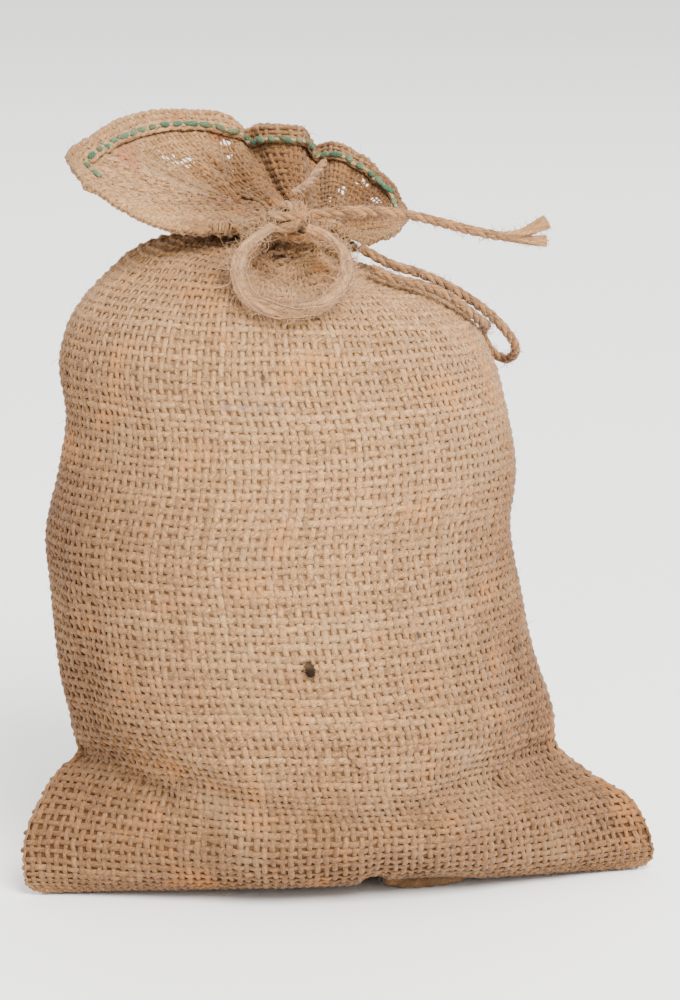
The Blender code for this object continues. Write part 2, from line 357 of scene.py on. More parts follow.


# Jute in any of its forms, from its plain, dark and light colours as they look on screen. The
# stains, and one painted shadow, are (x, y, z, radius, colour, strength) in millimetres.
def juteMaterial(name, base, dark, light, fineness, bump, stainsAndShadow=(), sheen=0.25):
    material, tree, shader = newMaterial(name)
    fibre = addNode(tree, "ShaderNodeGroup", node_tree=fibreGroup)
    for key, value in (("Base", base), ("Dark", dark), ("Light", light), ("Fineness", fineness)):
        fibre.inputs[key].default_value = linear(*value) if key != "Fineness" else value
    tree.links.new(attributeNode(tree, "grain").outputs["Vector"], fibre.inputs["Place"])
    tree.links.new(attributeNode(tree, "tone").outputs["Fac"], fibre.inputs["Tone"])
    # Painted shade: the cloth is darkened where its points were marked as shaded, at the sides, the
    # bottom, under the lip and the loop, and in the mouth's hollows.
    colour = mixColour(tree, attributeNode(tree, "shadeAndSoil").outputs["Fac"], fibre.outputs["Colour"],
                       shadeAndSoilTint, blend_type="MULTIPLY")
    place = addNode(tree, "ShaderNodeTexCoord").outputs["Object"]
    for scale, low, high, amount, tint in patchTints:
        cloud = noiseNode(tree, place, scale / mm, 3.0, 0.6)["Fac"]
        mask = mapRange(tree, cloud, (low, high), (0.0, amount))
        colour = mixColour(tree, mask, colour, linear(*tint))
    for x, y, z, radius, tint, strength in stainsAndShadow:
        away = vectorNode(tree, "SUBTRACT", place, (x * mm, y * mm, z * mm))
        away = vectorNode(tree, "MULTIPLY", away, stainStretch)
        wobble = noiseNode(tree, place, 3.0 / (radius * mm))["Fac"]
        far = mathNode(tree, "ADD", vectorNode(tree, "LENGTH", away),
                       times(tree, wobble, 0.9 * radius * mm))
        mask = mapRange(tree, far, (1.6 * radius * mm, 0.95 * radius * mm), (0.0, strength),
                        interpolation_type="SMOOTHSTEP")
        colour = mixColour(tree, mask, colour, linear(*tint))
    tree.links.new(colour, shader.inputs["Base Color"])
    tree.links.new(fibre.outputs["Roughness"], shader.inputs["Roughness"])
    addRelief(tree, shader, fibre.outputs["Height"], bump, 0.25)
    for key, value in (("Specular IOR Level", 0.18), ("Sheen Weight", sheen),
                       ("Sheen Roughness", 0.55)):
        shader.inputs[key].default_value = value
    return material


stainsAndShadowList = [
    (-64, 14, 228.5, 5, (132, 70, 40), 0.5),
    (-62, 8, 223.5, 3.4, (134, 72, 42), 0.45),
    (-33, 30, 232, 3.6, (134, 70, 44), 0.4),
    (-47, 34, 236.5, 3.4, (136, 72, 46), 0.3),
    (-16, -51, 79, 2.4, (60, 40, 26), 0.8),
    (73, -20, 45, 10, (150, 96, 50), 0.35),
    (-88, -18, 142, 7, (156, 106, 54), 0.4),
    (-57, -38, 88, 1.8, (62, 40, 26), 0.8),
    (-54, -39, 87, 1.5, (62, 40, 26), 0.8),
    (18, -49, 88, 1.6, (64, 42, 28), 0.75),
    (54, -20, 77, 1.6, (64, 42, 28), 0.7),
    (-60, -36, 43, 1.7, (64, 42, 28), 0.7),
    (-40, -46, 160.4, 1.7, (104, 90, 84), 0.55),
    (-35, -47, 160, 1.7, (104, 90, 84), 0.55),
    (-30, -48, 159.6, 1.6, (104, 90, 84), 0.5),
    (-25, -49, 159.4, 1.6, (104, 90, 84), 0.55),
    (-29, -46, 168.5, 1.1, (52, 36, 24), 0.8),
    # painted shadow under the front bottom edge, where it lifts off the floor
    (24, -20, 1, 9, (92, 66, 42), 0.6),
]
threadFinish = juteMaterial("juteThread", (150, 111, 70), (98, 70, 44), (192, 152, 106), 1.0, 0.55,
                            stainsAndShadowList, sheen=0.12)
twineFinish = juteMaterial("juteTwine", (126, 88, 52), (78, 52, 31), (174, 132, 86), 0.9, 0.6,
                           sheen=0.15)
looseFinish = juteMaterial("juteLoose", (138, 102, 64), (92, 65, 41), (186, 147, 104), 1.1, 0.6)
fluffFinish = juteMaterial("juteFluff", (158, 114, 72), (112, 78, 48), (190, 148, 102), 1.0, 0.2)
stitchFinish = juteMaterial("greenYarn", (42, 80, 58), (24, 52, 37), (104, 118, 84), 1.3, 0.5,
                            sheen=0.1)
burrFinish = juteMaterial("burrFibre", (44, 27, 17), (24, 15, 10), (80, 54, 34), 1.2, 0.5, sheen=0.0)
runFinish = juteMaterial("dullYarn", (128, 112, 74), (84, 86, 58), (166, 140, 100), 1.3, 0.5)
print("materials made")


# A circle whose points remember where they are round it.
def roundProfile(tree, sides):
    circle = addNode(tree, "GeometryNodeCurvePrimitiveCircle", {"Resolution": sides, "Radius": 1.0})
    position = outNode(tree, "GeometryNodeInputPosition")
    return storeField(tree, circle.outputs["Curve"], "round", position, "FLOAT_VECTOR")


# Ends a tree with its tubes' fibre coordinates: round the tube, turning as they run along it.
def closeYarn(tree, tube, twist, roundScale, runScale, material):
    along = namedField(tree, "along")
    angle = times(tree, along, times(tree, twist, 2.0 * math.pi))
    spun = outNode(tree, "ShaderNodeVectorRotate",
                   {"Vector": namedField(tree, "round", "FLOAT_VECTOR"), "Axis": (0.0, 0.0, 1.0),
                    "Angle": angle}, rotation_type="AXIS_ANGLE")
    apart = times(tree, namedField(tree, "tone"), 31.0)
    run = combine(tree, apart, 0.0, times(tree, along, runScale))
    grain = vectorNode(tree, "ADD", scaleVector(tree, spun, roundScale), run)
    finished = storeField(tree, tube, "grain", grain, "FLOAT_VECTOR")
    smooth = outNode(tree, "GeometryNodeSetShadeSmooth", {"Geometry": finished})
    return closeTree(tree, smooth, material)


# A tree that turns edge chains into yarn: a flattened tube along each chain, with its fibres
# turning round it.
def yarnTree(name, material):
    tree, given = newTree(name, ["Flatness", "Turns per metre"], ["Sides"])
    curves = outNode(tree, "GeometryNodeMeshToCurve", {"Mesh": given["Geometry"]})
    length = addNode(tree, "GeometryNodeSplineParameter").outputs["Length"]
    turned = outNode(tree, "GeometryNodeSetCurveNormal",
                     {"Curve": storeField(tree, curves, "along", length),
                      "Normal": namedField(tree, "out", "FLOAT_VECTOR")}, mode="FREE")
    profile = outNode(tree, "GeometryNodeTransform",
                      {"Geometry": roundProfile(tree, given["Sides"]),
                       "Scale": combine(tree, given["Flatness"], 1.0, 1.0)})
    tube = outNode(tree, "GeometryNodeCurveToMesh",
                   {"Curve": turned, "Profile Curve": profile,
                    "Scale": namedField(tree, "thick"), "Fill Caps": True})
    return closeYarn(tree, tube, given["Turns per metre"], 2.4, 550.0, material)


def growYarn(name, lines, closed, fields, sides, flatness, twist, material):
    source = lineObject(name + "Lines", lines, closed, fields)
    return growMesh(source, yarnTree(name + "Tree", material),
                    {"Sides": sides, "Flatness": flatness, "Turns per metre": twist}, name)


# A tree that grows loose fibres from a surface: short bent hairs, each a few thin faces.
def hairTree(name, material):
    tree, given = newTree(name, ["Hairs per square metre", "Length", "Thickness"], ["Seed"])
    spots = addNode(tree, "GeometryNodeDistributePointsOnFaces",
                    {"Mesh": given["Geometry"], "Density": given["Hairs per square metre"],
                     "Seed": given["Seed"]}, distribute_method="RANDOM")
    points = outNode(tree, "GeometryNodeCurvePrimitiveBezierSegment",
                     {"Resolution": 5, "Start": (0, 0, 0), "Start Handle": (0.0, 0.0, 0.45),
                      "End Handle": (0.5, 0.1, 0.6), "End": (0.75, 0.35, 0.5)}, mode="POSITION")
    factor = addNode(tree, "GeometryNodeSplineParameter").outputs["Factor"]
    thin = times(tree, mathNode(tree, "SUBTRACT", 1.25, factor),
                 mathNode(tree, "DIVIDE", given["Thickness"], given["Length"]))
    circle = addNode(tree, "GeometryNodeCurvePrimitiveCircle", {"Resolution": 3, "Radius": 1.0})
    hair = outNode(tree, "GeometryNodeCurveToMesh",
                   {"Curve": points, "Profile Curve": circle.outputs["Curve"],
                    "Scale": thin, "Fill Caps": True})
    lean = outNode(tree, "FunctionNodeRandomValue",
                   {0: (-1.0, -1.0, -1.0), 1: (1.0, 1.0, 1.0), "Seed": given["Seed"]},
                   data_type="FLOAT_VECTOR")
    aim = vectorNode(tree, "ADD", spots.outputs["Normal"], scaleVector(tree, lean, 0.9))
    tilt = outNode(tree, "FunctionNodeAlignRotationToVector", {"Vector": aim}, axis="Z")
    turn = spinRotation(tree, tilt, randomValue(tree, 0.0, 6.283, 7))
    size = times(tree, randomValue(tree, 0.35, 1.3, 11), given["Length"])
    hairs = outNode(tree, "GeometryNodeInstanceOnPoints",
                    {"Points": spots.outputs["Points"], "Instance": hair,
                     "Rotation": turn, "Scale": size})
    toned = storeField(tree, hairs, "tone", randomValue(tree, 0.0, 1.0, 3), domain="INSTANCE")
    return closeTree(tree, toned, material)


# A tree that lays plies round a route: each ply is a yarn on its own spiral.
def twineTree(name, material):
    tree, given = newTree(name, ["Ply radius", "Spiral radius", "Turns per metre",
                                 "Twist per metre", "Wander", "Unevenness"], ["Plies", "Sides"])
    curves = outNode(tree, "GeometryNodeMeshToCurve", {"Mesh": given["Geometry"]})
    level = outNode(tree, "GeometryNodeSetCurveNormal", {"Curve": curves}, mode="MINIMUM_TWIST")
    copies = addNode(tree, "GeometryNodeDuplicateElements",
                     {"Geometry": level, "Amount": given["Plies"]},
                     domain="SPLINE").outputs
    ply = copies["Duplicate Index"]
    length = addNode(tree, "GeometryNodeSplineParameter").outputs["Length"]
    stored = storeField(tree, copies["Geometry"], "along", length)
    numbered = storeField(tree, stored, "tone", mathNode(tree, "DIVIDE", ply, 3.0))
    share = mathNode(tree, "DIVIDE", namedField(tree, "tone"),
                     mathNode(tree, "DIVIDE", given["Plies"], 3.0))
    angle = times(tree, 2.0 * math.pi,
                  mathNode(tree, "MULTIPLY_ADD", length, given["Turns per metre"], share))
    tangent = outNode(tree, "GeometryNodeInputTangent")
    normal = outNode(tree, "GeometryNodeInputNormal")
    side = vectorNode(tree, "CROSS_PRODUCT", tangent, normal)
    least = mathNode(tree, "SUBTRACT", 1.0, given["Unevenness"])
    radius = times(tree, given["Spiral radius"], randomValue(tree, least, 1.0, 21, ID=ply))
    radius = times(tree, radius, namedField(tree, "spread"))
    strayPlace = combine(tree, times(tree, length, 110.0), times(tree, ply, 7.3), 0.0)
    stray = vectorNode(tree, "SUBTRACT", noiseNode(tree, strayPlace, 1.0)["Color"], (0.5, 0.5, 0.5))
    spiral = [scaleVector(tree, way, times(tree, radius, mathNode(tree, wave, angle)))
              for way, wave in ((normal, "COSINE"), (side, "SINE"))]
    offset = vectorNode(tree, "ADD", vectorNode(tree, "ADD", *spiral),
                        scaleVector(tree, stray, given["Wander"]))
    moved = outNode(tree, "GeometryNodeSetPosition", {"Geometry": numbered, "Offset": offset})
    thickness = times(tree, given["Ply radius"], namedField(tree, "thick"))
    tube = outNode(tree, "GeometryNodeCurveToMesh",
                   {"Curve": moved, "Profile Curve": roundProfile(tree, given["Sides"]),
                    "Scale": thickness, "Fill Caps": True})
    return closeYarn(tree, tube, given["Twist per metre"], 3.4, 260.0, material)


def joinMeshes(pieces, name):
    with bpy.context.temp_override(active_object=pieces[0], selected_editable_objects=pieces,
                                   object=pieces[0], selected_objects=pieces):
        bpy.ops.object.join()
    pieces[0].name = pieces[0].data.name = name
    return pieces[0]


# The tie. Routes are in millimetres, as the tie solids lie.
tie = {
    "diameter": 3.2,
    "looseDiameter": 5.6,    # of the front loop, which is loosened
    "step": 0.55,            # between points along a run
    "sides": 8,
    "twist": 150.0,          # turns of a ply's fibres in a metre
    "frontLoop": [
        (-23.6, -26.8, 211.2), (-30.2, -29.2, 207.2), (-34.2, -32.2, 202.2), (-34.8, -35.4, 197.2),
        (-33, -38.4, 192.6), (-28.5, -40.6, 189.4), (-21.4, -41.6, 188), (-13.5, -41.2, 188.6),
        (-6.5, -38.8, 192.2), (-2.6, -34.8, 197.8), (-3, -31.2, 203.6), (-7.2, -28.8, 207.8),
        (-13.2, -27.2, 210.4),
    ],
    "backLoop": [
        (5.2, -11.4, 201.8), (14.5, -11.2, 196.6), (24.3, -8.4, 193), (32.5, -5.8, 189),
        (40.8, -3.4, 183.8), (47.5, -1.2, 178.5), (52.8, 1.2, 173), (56.4, 5, 167.8),
        (57.2, 10.6, 163.6), (55.2, 16.4, 161.4), (51.8, 20.2, 163.2), (49.2, 20, 167.4),
        (48.2, 15, 171.2), (47.8, 8.4, 173.4), (46.6, 1.6, 174.8), (43.8, -4.2, 177.2),
        (40.2, -7.6, 180.4), (35, -10.6, 184.6), (29.9, -12.8, 187.8), (22.8, -15.6, 190.8),
        (14, -18.4, 193.4), (7.6, -18.2, 196.6),
    ],
    # The forked tip's two branches: route, thickness
    "forkUpper": ([(49.6, -9.9, 204.6), (55.6, -8.8, 205), (60, -8.2, 206.6), (63.8, -8, 208.4)], 4.6),
    "forkLower": ([(50.4, -10, 203.5), (56, -9, 202.8), (60, -8.6, 202.5), (63.6, -8.4, 202.4)], 3.6),
    "rightEnd": [
        (-11.4, -23.6, 214), (-1.2, -24, 215), (9.9, -21.4, 214.3), (19.6, -18, 212.5),
        (29.3, -15, 209.7), (39.1, -12, 206.7), (48.8, -10, 204.3), (56.9, -8.5, 203.1),
        (63.2, -7.5, 203.2),
    ],
    "tuckedEnd": [
        (-16.6, -18.6, 219.8), (-14.4, -14.4, 220.2), (-11.4, -9, 220.8), (-8.5, -3, 222.3),
        (-5.8, 3, 224), (-3.2, 8, 225.9),
    ],
    "knotCentre": (-18.4, -22.6, 213.4),
    # name, tilt, lean, the three radii and the twine's thickness of each turn of the knot
    "knotTurns": [
        ("knotTurnA", 0.25, 0.4, (4.9, 2.2, 2.6), 3.1),
        ("knotTurnB", -0.7, 1.8, (3.9, 2.6, 3.2), 3.0),
        ("knotTurnC", 1.35, 0.2, (3.4, 2.4, 2.2), 3.0),
    ],
    "wrapLift": 3.1,         # from the neck of the cloth to the middle of the turn round it
    "tuckedShare": 0.76,     # the tucked end is laid this much thinner
    "frayStart": 0.8,        # where the right end thins out into its fork, as a share of it
}


# Loose fibres: how many on a square metre, their length and thickness, and the seed.
fibres = {
    "looseFibresFront": (3.6e5, 6.5, 0.085, 5),
    "looseFibresBack": (2.4e5, 2.6, 0.075, 6),
    "looseFibresRight": (2.6e5, 2.8, 0.075, 7),
    "looseFibresFork": (4.0e5, 2.2, 0.075, 14),
    "looseFibresTucked": (2.4e5, 2.6, 0.075, 8),
    "looseFibresWrap": (2.4e5, 2.2, 0.075, 12),
    "looseFibresKnot": (3.0e5, 3.0, 0.075, 13),
    "clothFibres": (4.0e4, 3.8, 0.06, 9),
}


# One run of twine along a route. spread opens the plies out and thick swells them, each a
# function of the share of the way along.
def makeTwine(name, route, diameter, material, plies=3, turns=95.0, spread=None, thick=None,
              closed=False, plyShare=0.27, spiralShare=0.235, wander=0.0, unevenness=0.0):
    run = chordKnots(smoothRoute(route, 200, closed))[-1]
    count = max(24, int(run / tie["step"]))
    line = smoothRoute(route, count, closed)
    share = np.linspace(0.0, 1.0, len(line))
    fields = {"spread": [np.ones(len(line)) if spread is None else spread(share)],
              "thick": [np.ones(len(line)) if thick is None else thick(share)]}
    source = lineObject(name + "Line", [line], closed, fields)
    return growMesh(source, twineTree(name + "Tree", material), {
        "Plies": plies, "Ply radius": diameter * plyShare * mm,
        "Spiral radius": diameter * spiralShare * mm, "Turns per metre": turns,
        "Sides": tie["sides"], "Twist per metre": tie["twist"], "Wander": wander * mm,
        "Unevenness": unevenness}, name)


def makeFuzz(body, name):
    perSquareMetre, length, thickness, seed = fibres[name]
    copy = bpy.data.objects.new(name + "Bed", body.data.copy())
    bpy.context.scene.collection.objects.link(copy)
    return growMesh(copy, hairTree(name + "Tree", fluffFinish), {
        "Hairs per square metre": perSquareMetre, "Length": length * mm,
        "Thickness": thickness * mm, "Seed": seed}, name)


floorRoom = 0.3      # what lies lower than this is pressed towards the floor, and never under it


def layOnFloor(piece):
    count = len(piece.data.vertices)
    places = np.empty(count * 3, np.float32)
    piece.data.vertices.foreach_get("co", places)
    height = places[2::3] / (floorRoom * mm)
    pressed = np.where(height > 1.0, height, np.exp(np.minimum(height, 1.0) - 1.0))
    places[2::3] = pressed * floorRoom * mm
    piece.data.vertices.foreach_set("co", places)
    piece.data.update()


def metres(points):
    return [tuple(float(c) * mm for c in point) for point in points]


def settle(piece, slot, *nodes):
    layOnFloor(piece)
    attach(piece, "root")
    if nodes:
        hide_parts(*nodes)


# The front loop and the strands round it swell in the middle; the right end thins to its fork.
def hump(share):
    return np.sin(np.pi * share) ** 0.7


def fray(share):
    return np.clip((share - tie["frayStart"]) / (1.0 - tie["frayStart"]), 0, 1)


frontLoop = makeTwine("tieLoopFront", tie["frontLoop"], tie["looseDiameter"], looseFinish,
                      plies=11, turns=14.0, plyShare=0.155, spiralShare=0.34, wander=1.0,
                      unevenness=0.5, thick=lambda s: 0.62 + 0.38 * hump(s),
                      spread=lambda s: 0.55 + 0.45 * hump(s))
frontStrands = makeTwine("looseStrandsFront", tie["frontLoop"], tie["looseDiameter"],
                         fluffFinish, plies=26, turns=9.0, plyShare=0.024, spiralShare=0.5,
                         wander=2.4, unevenness=0.9, spread=lambda s: 0.45 + 0.65 * hump(s))
frontFuzz = makeFuzz(frontLoop, "looseFibresFront")
backLoop = makeTwine("tieLoopBack", tie["backLoop"], tie["diameter"], twineFinish)
backFuzz = makeFuzz(backLoop, "looseFibresBack")
rightEnd = makeTwine("tieEndRight", tie["rightEnd"], tie["diameter"], twineFinish,
                     spread=lambda s: 1.0 - 0.5 * fray(s), thick=lambda s: 1.0 - 0.6 * fray(s))
rightFuzz = makeFuzz(rightEnd, "looseFibresRight")
forkEnds = joinMeshes([
    makeTwine(name, *tie[name], twineFinish, plies=7, turns=24.0, plyShare=0.17,
              spiralShare=0.30, wander=0.35, unevenness=0.35,
              spread=lambda s: 0.4 + 0.85 * s ** 1.4, thick=lambda s: 0.75 + 0.45 * s)
    for name in ("forkUpper", "forkLower")], "tieEndFork")
forkFuzz = makeFuzz(forkEnds, "looseFibresFork")
tuckedEnd = makeTwine("tieEndTucked", tie["tuckedEnd"], tie["diameter"] * tie["tuckedShare"],
                      twineFinish)
tuckedFuzz = makeFuzz(tuckedEnd, "looseFibresTucked")
print("twine laid")


# The sack. Levels are from the floor up: the two side folds (x and z of each), how far the front
# and the back reach (y, z), how flat the section tapers to the folds, and the folds' y.
sack = {
    "levels": [
        (-94.5, 0, 94.5, 0, -14, 0, 20, 0, 1.8, -12),
        (-98.6, 2.2, 98, 2.2, -22.5, 2.4, 28, 2.4, 2, -12),
        (-100.4, 9, 99.2, 8.5, -37, 9.5, 38.5, 9.5, 2.4, -12),
        (-100.2, 17.5, 96.8, 16.5, -44.5, 18, 43.5, 18, 2.7, -9.5),
        (-96, 27, 92, 23.5, -47.5, 27, 46.5, 27, 2.6, -6.5),
        (-90.4, 35.5, 80.5, 30.2, -49.6, 35.5, 49, 35.5, 2.5, -3.5),
        (-84.2, 42.5, 70.6, 38.4, -50.8, 44, 50.2, 44, 1.65, -1.5),
        (-83.8, 53, 67.8, 51, -51.6, 55, 51.4, 55, 1.15, 0),
        (-86.6, 70, 61, 70, -52, 71, 52, 71, 1, 0),
        (-89.4, 96, 55.6, 96, -52, 96, 52, 96, 1, 0),
        (-90.6, 112, 53.2, 112, -51.6, 112, 51.5, 112, 1, 0),
        (-86, 133, 55.4, 133, -50.6, 133, 50.5, 133, 1, 0),
        (-83.4, 149, 52.6, 149, -49.4, 149, 49, 149, 1, 0),
        (-85.2, 167, 47.6, 165, -46.5, 166, 46, 166, 1, 0),
        (-81.4, 180, 42, 175.2, -41.8, 179.5, 41, 179, 1, 0),
        (-71.8, 191.9, 30, 184.8, -33.5, 190.8, 32.5, 190, 1, 0),
        (-60.4, 201.6, 18.5, 190.4, -26, 197.2, 25, 196.2, 1, 0),
        (-47, 205.2, 8.6, 193.8, -19.5, 200.8, 18.5, 199.8, 1, 0),
        (-35, 204.6, 3.2, 196.8, -15, 202.6, 14, 201.8, 1, 0),
        (-32.5, 208.2, 1.5, 200.4, -13.6, 206, 12.6, 205.2, 1, 0),
        (-33.5, 212.4, 2.5, 204.4, -14.4, 210.2, 13.4, 209.4, 1, 0),
    ],
    "rim": [
        (-84.9, -2.8, 230.7), (-82.1, -7.2, 227.8), (-79.2, -11.6, 224.2), (-72.4, -18, 219),
        (-60.4, -24.5, 212.4), (-46.4, -24.8, 210), (-33, -20.5, 211.6), (-19, -18.4, 216.2),
        (-5, -16, 210.8), (9, -11, 205.2), (22.8, 5, 209.4), (20.6, 18.5, 217),
        (10.5, 27.5, 226), (-4, 33, 232.5), (-16, 31, 235.5), (-27.5, 36.5, 237.4), (-45, 36, 240.3),
        (-60, 31, 239.2), (-72.6, 16.5, 235.6), (-79.2, 6, 232.8), (-82.8, 0.6, 231.4),
    ],
    "columns": 312,          # two for each upright thread
    "rowStep": 2.0,
    "floorGap": 1.25,        # the middle of the cloth stands this high where it lies on the floor
    "bottomSeam": -8.0,      # where the sewn bottom lies, front to back
    "bottomShare": 0.985,    # the seam's length, as a share of the edge round it
    "bottomRows": 8,
    "seamHeights": (4.5, 2.2),
    "seamGap": 0.25,         # from the middle of the seam to each of its layers
    "seed": 11,              # for how unevenly the pleats and folds are spread
    "neckSwell": 0.9,        # the cloth swells this much under the tie
    "pleats": 26,
    "pleatDepth": 3.0,
    "pleatReach": 9.0,       # how far down from the tie the pleats fade
    "folds": 11,             # the wider folds that run on over the shoulders
    "foldDepth": 1.5,
    "foldReach": 26.0,
    "mouthFolds": 9,         # folds that fan out from the tie inside the mouth
    "mouthFoldDepth": 1.7,
    "mouthFoldReach": 24.0,
    "mouthRows": 26,
    "mouthBend": (0.55, 0.55, 0.28),
    "hemGap": 0.9,
    "hemRows": 5,            # rows of cloth that are folded back
    "hemRoom": 1.5,          # what the hem and its threads add past the edge
    # The lifted places in the front bottom edge: x, half width, height
    "notches": [(7.4, 4.2, 3.6), (24, 15, 1.7)],
    "ruffles": [
        # x and y of the place on the edge, width, how far out of the cloth it stands, how far
        # it drops
        (-25, 35, 5, 3, 3.4), (-14, 31, 6, -6, 2), (-3, 33, 4, 4, 2.4),
        (9, 28, 8, -0.5, 0.4), (19, 20, 7, 0.5, 0.8), (-45, 36, 9, 0.4, 1),
        (-62, 30, 9, -0.6, 0.8), (-76, 14, 8, -1, 0.9),
        (-58, -26, 8, -0.6, 0), (-40, -23, 6, 0.6, 0.6),
    ],
    "dents": [
        # x, y and z in the mouth, how wide, and how far the cloth is pushed out there
        (-30.8, 31, 229.5, 4.2, 2.2), (-29.4, 26.5, 224, 4.2, 3), (-28.2, 21, 218.2, 4.2, 3.2),
        (-28.6, 15, 214, 4, 2.4), (-31.5, 8, 212, 5, 2.6), (-37, 26, 224.5, 6, -2.2),
        (-36, 17, 218, 5.5, -1.8), (-61.5, 0.5, 222.6, 13, -2.4), (-46, -6, 213, 7, -1.6),
        (-20, 25, 224, 6, -1.6),
    ],
    # A slow unevenness all over: waves round, how fast they turn going up, start, and height
    "unevenness": [(5, 23, 0.3, 0.35), (8, 17, 2.1, 0.28), (13, 31, 4, 0.2)],
    "creases": [
        # x and z along the crease, depth (a ridge is negative), width, and the side it is on
        ([(-82, 44), (-70, 47), (-50, 42), (-20, 32), (5, 29), (30, 36), (58, 52)], 1.8, 5, "front"),
        ([(-83, 43), (-72, 41), (-58, 36)], 2.6, 3, "front"),
        ([(64, 41), (57, 42), (46, 37)], 2.6, 3.2, "front"),
        ([(8, 92), (28, 99), (50, 99)], 0.8, 3.6, "front"),
        ([(-8, 118), (-7, 140), (-9, 166)], 0.7, 3.4, "front"),
        ([(-86, 60), (-86, 80), (-84, 98)], -1.2, 3.4, "front"),
        ([(-80, 60), (-80, 80), (-78, 96)], 1, 3.4, "front"),
        ([(-60, 196), (-50, 186), (-44, 172)], 1.4, 5, "front"),
        ([(2, 192), (6, 178), (8, 166)], 1, 4, "front"),
        ([(-26, 206), (-18, 200), (-10, 191)], 2.2, 2.8, "front"),
        ([(-30, 200), (-22, 197), (-16, 193)], 2.2, 2.4, "front"),
        ([(8, 196), (23, 190.5), (35, 184), (44, 176), (49, 168)], 1.3, 3.4, "front"),
        ([(-82, 44), (-60, 46), (-30, 36), (0, 34), (40, 42), (68, 42)], 1.8, 5, "back"),
        ([(-60, 150), (-50, 120), (-46, 90)], 1.2, 7, "back"),
        ([(10, 160), (16, 130), (14, 100)], 1.1, 6, "back"),
        ([(-20, 190), (-16, 170), (-18, 150)], 1.2, 5, "back"),
    ],
}


# One level of the sack, as points round it from the left fold by way of the front.
def levelOutline(level, count):
    leftX, leftZ, rightX, rightZ, frontY, frontZ, backY, backZ, tail, foldY = level
    turn = np.linspace(0.0, math.pi, 400)
    bulge = np.sin(turn)
    share = (1.0 - np.cos(turn)) / 2.0
    x = leftX + (rightX - leftX) * share
    sideZ = leftZ + (rightZ - leftZ) * share
    middleZ = (leftZ + rightZ) / 2.0

    def face(reach, z):
        y = foldY + (reach - foldY) * bulge**tail
        return np.column_stack([x, y, sideZ + (z - middleZ) * bulge])

    front = evenly(face(frontY, frontZ), count // 2 + 1)[:-1]
    back = evenly(face(backY, backZ)[::-1], count // 2 + 1)[:-1]
    return np.vstack([front, back])


def gridNormals(grid):
    across = np.roll(grid, -1, axis=1) - np.roll(grid, 1, axis=1)
    upward = np.gradient(grid, axis=0)
    normals = np.cross(across, upward)
    return normals / np.maximum(np.linalg.norm(normals, axis=2), 1e-9)[:, :, None]


def waves(count, columns, phase=0.0):
    return np.cos(2.0 * math.pi * (count * np.arange(columns) / columns) + phase)


# How near each point is to a crease, 1 on it and 0 away from it, seen from the front or back.
def creaseMask(grid, normals, points, width, side):
    line = smoothRoute([(x, 0.0, z) for x, z in points], 30)[:, [0, 2]]
    flat = grid[:, :, [0, 2]]
    nearest = np.full(grid.shape[:2], 1e9)
    for low, high in zip(line[:-1], line[1:]):
        step = high - low
        t = np.clip(((flat - low) @ step) / (step @ step), 0.0, 1.0)
        gap = np.linalg.norm(flat - low - t[:, :, None] * step, axis=2)
        nearest = np.minimum(nearest, gap)
    facing = np.clip(normals[:, :, 1] * (-3.0 if side == "front" else 3.0) + 0.3, 0.0, 1.0)
    return np.exp(-(nearest / width) ** 2) * facing


# The hem is turned in at the back of the mouth, 1, and out at its low front lip, -1.
def hemSide(columns):
    around = np.arange(columns) / columns
    return np.clip(-9.0 * np.sin(2.0 * math.pi * (around - 0.005)), -1.0, 1.0)


# The bottom, from the sewn seam out to the edge that the sack stands on.
def layBottom(footprint, shape):
    columns = len(footprint)
    seam = footprint * [shape["bottomShare"], 0.0, 0.0] + [0.0, shape["bottomSeam"], 0.0]
    mirrored = seam[(columns - np.arange(columns)) % columns]
    seam = (seam + mirrored) / 2.0
    sides = np.sign(np.arange(columns) - columns / 2.0)[:, None]
    rows = [seam + sides * [0.0, shape["seamGap"], 0.0] + [0.0, 0.0, height]
            for height in shape["seamHeights"]]
    return rows + [seam + (footprint - seam) * share
                   for share in np.linspace(0.0, 1.0, shape["bottomRows"] + 1)[:-1]]


# The mouth, on arcs that run out before they run up.
def layMouth(neck, shape):
    lip = smoothRoute(shape["rim"], len(neck), closed=True)
    out = lip - neck
    lip = lip - out / np.linalg.norm(out, axis=1)[:, None] * shape["hemRoom"]
    bend = neck + (lip - neck) * np.array(shape["mouthBend"])
    return [(1 - s) ** 2 * neck + 2 * s * (1 - s) * bend + s * s * lip
            for s in np.linspace(0.0, 1.0, shape["mouthRows"] + 1)[1:]]


# How far the gathers push the cloth out: tight pleats at the tie, wider folds that run out over
# the shoulders, and folds that fan out in the mouth.
def gatherPush(up, wander, shape):
    columns = len(wander)
    away = np.abs(up)
    tight = shape["pleatDepth"] * np.exp(-(away / shape["pleatReach"]) ** 1.4)
    wide = shape["foldDepth"] * np.exp(-(away / shape["foldReach"]) ** 2) * (1 - np.exp(-away / 6))
    pleat = 0.5 + 0.5 * waves(shape["pleats"], columns, wander)
    fold = 0.5 + 0.5 * waves(shape["folds"], columns, 2.4 * wander)
    push = -tight[:, None] * pleat - wide[:, None] * fold
    inMouth = np.clip(up, 0.0, None)
    mouthFold = shape["mouthFoldDepth"] * (1 - np.exp(-inMouth / 5.0)) * np.exp(
        -(inMouth / shape["mouthFoldReach"]) ** 2)
    push -= mouthFold[:, None] * waves(shape["mouthFolds"], columns, 3.0 * wander)
    return push + shape["neckSwell"] * np.exp(-(away / 8.0) ** 2)[:, None]


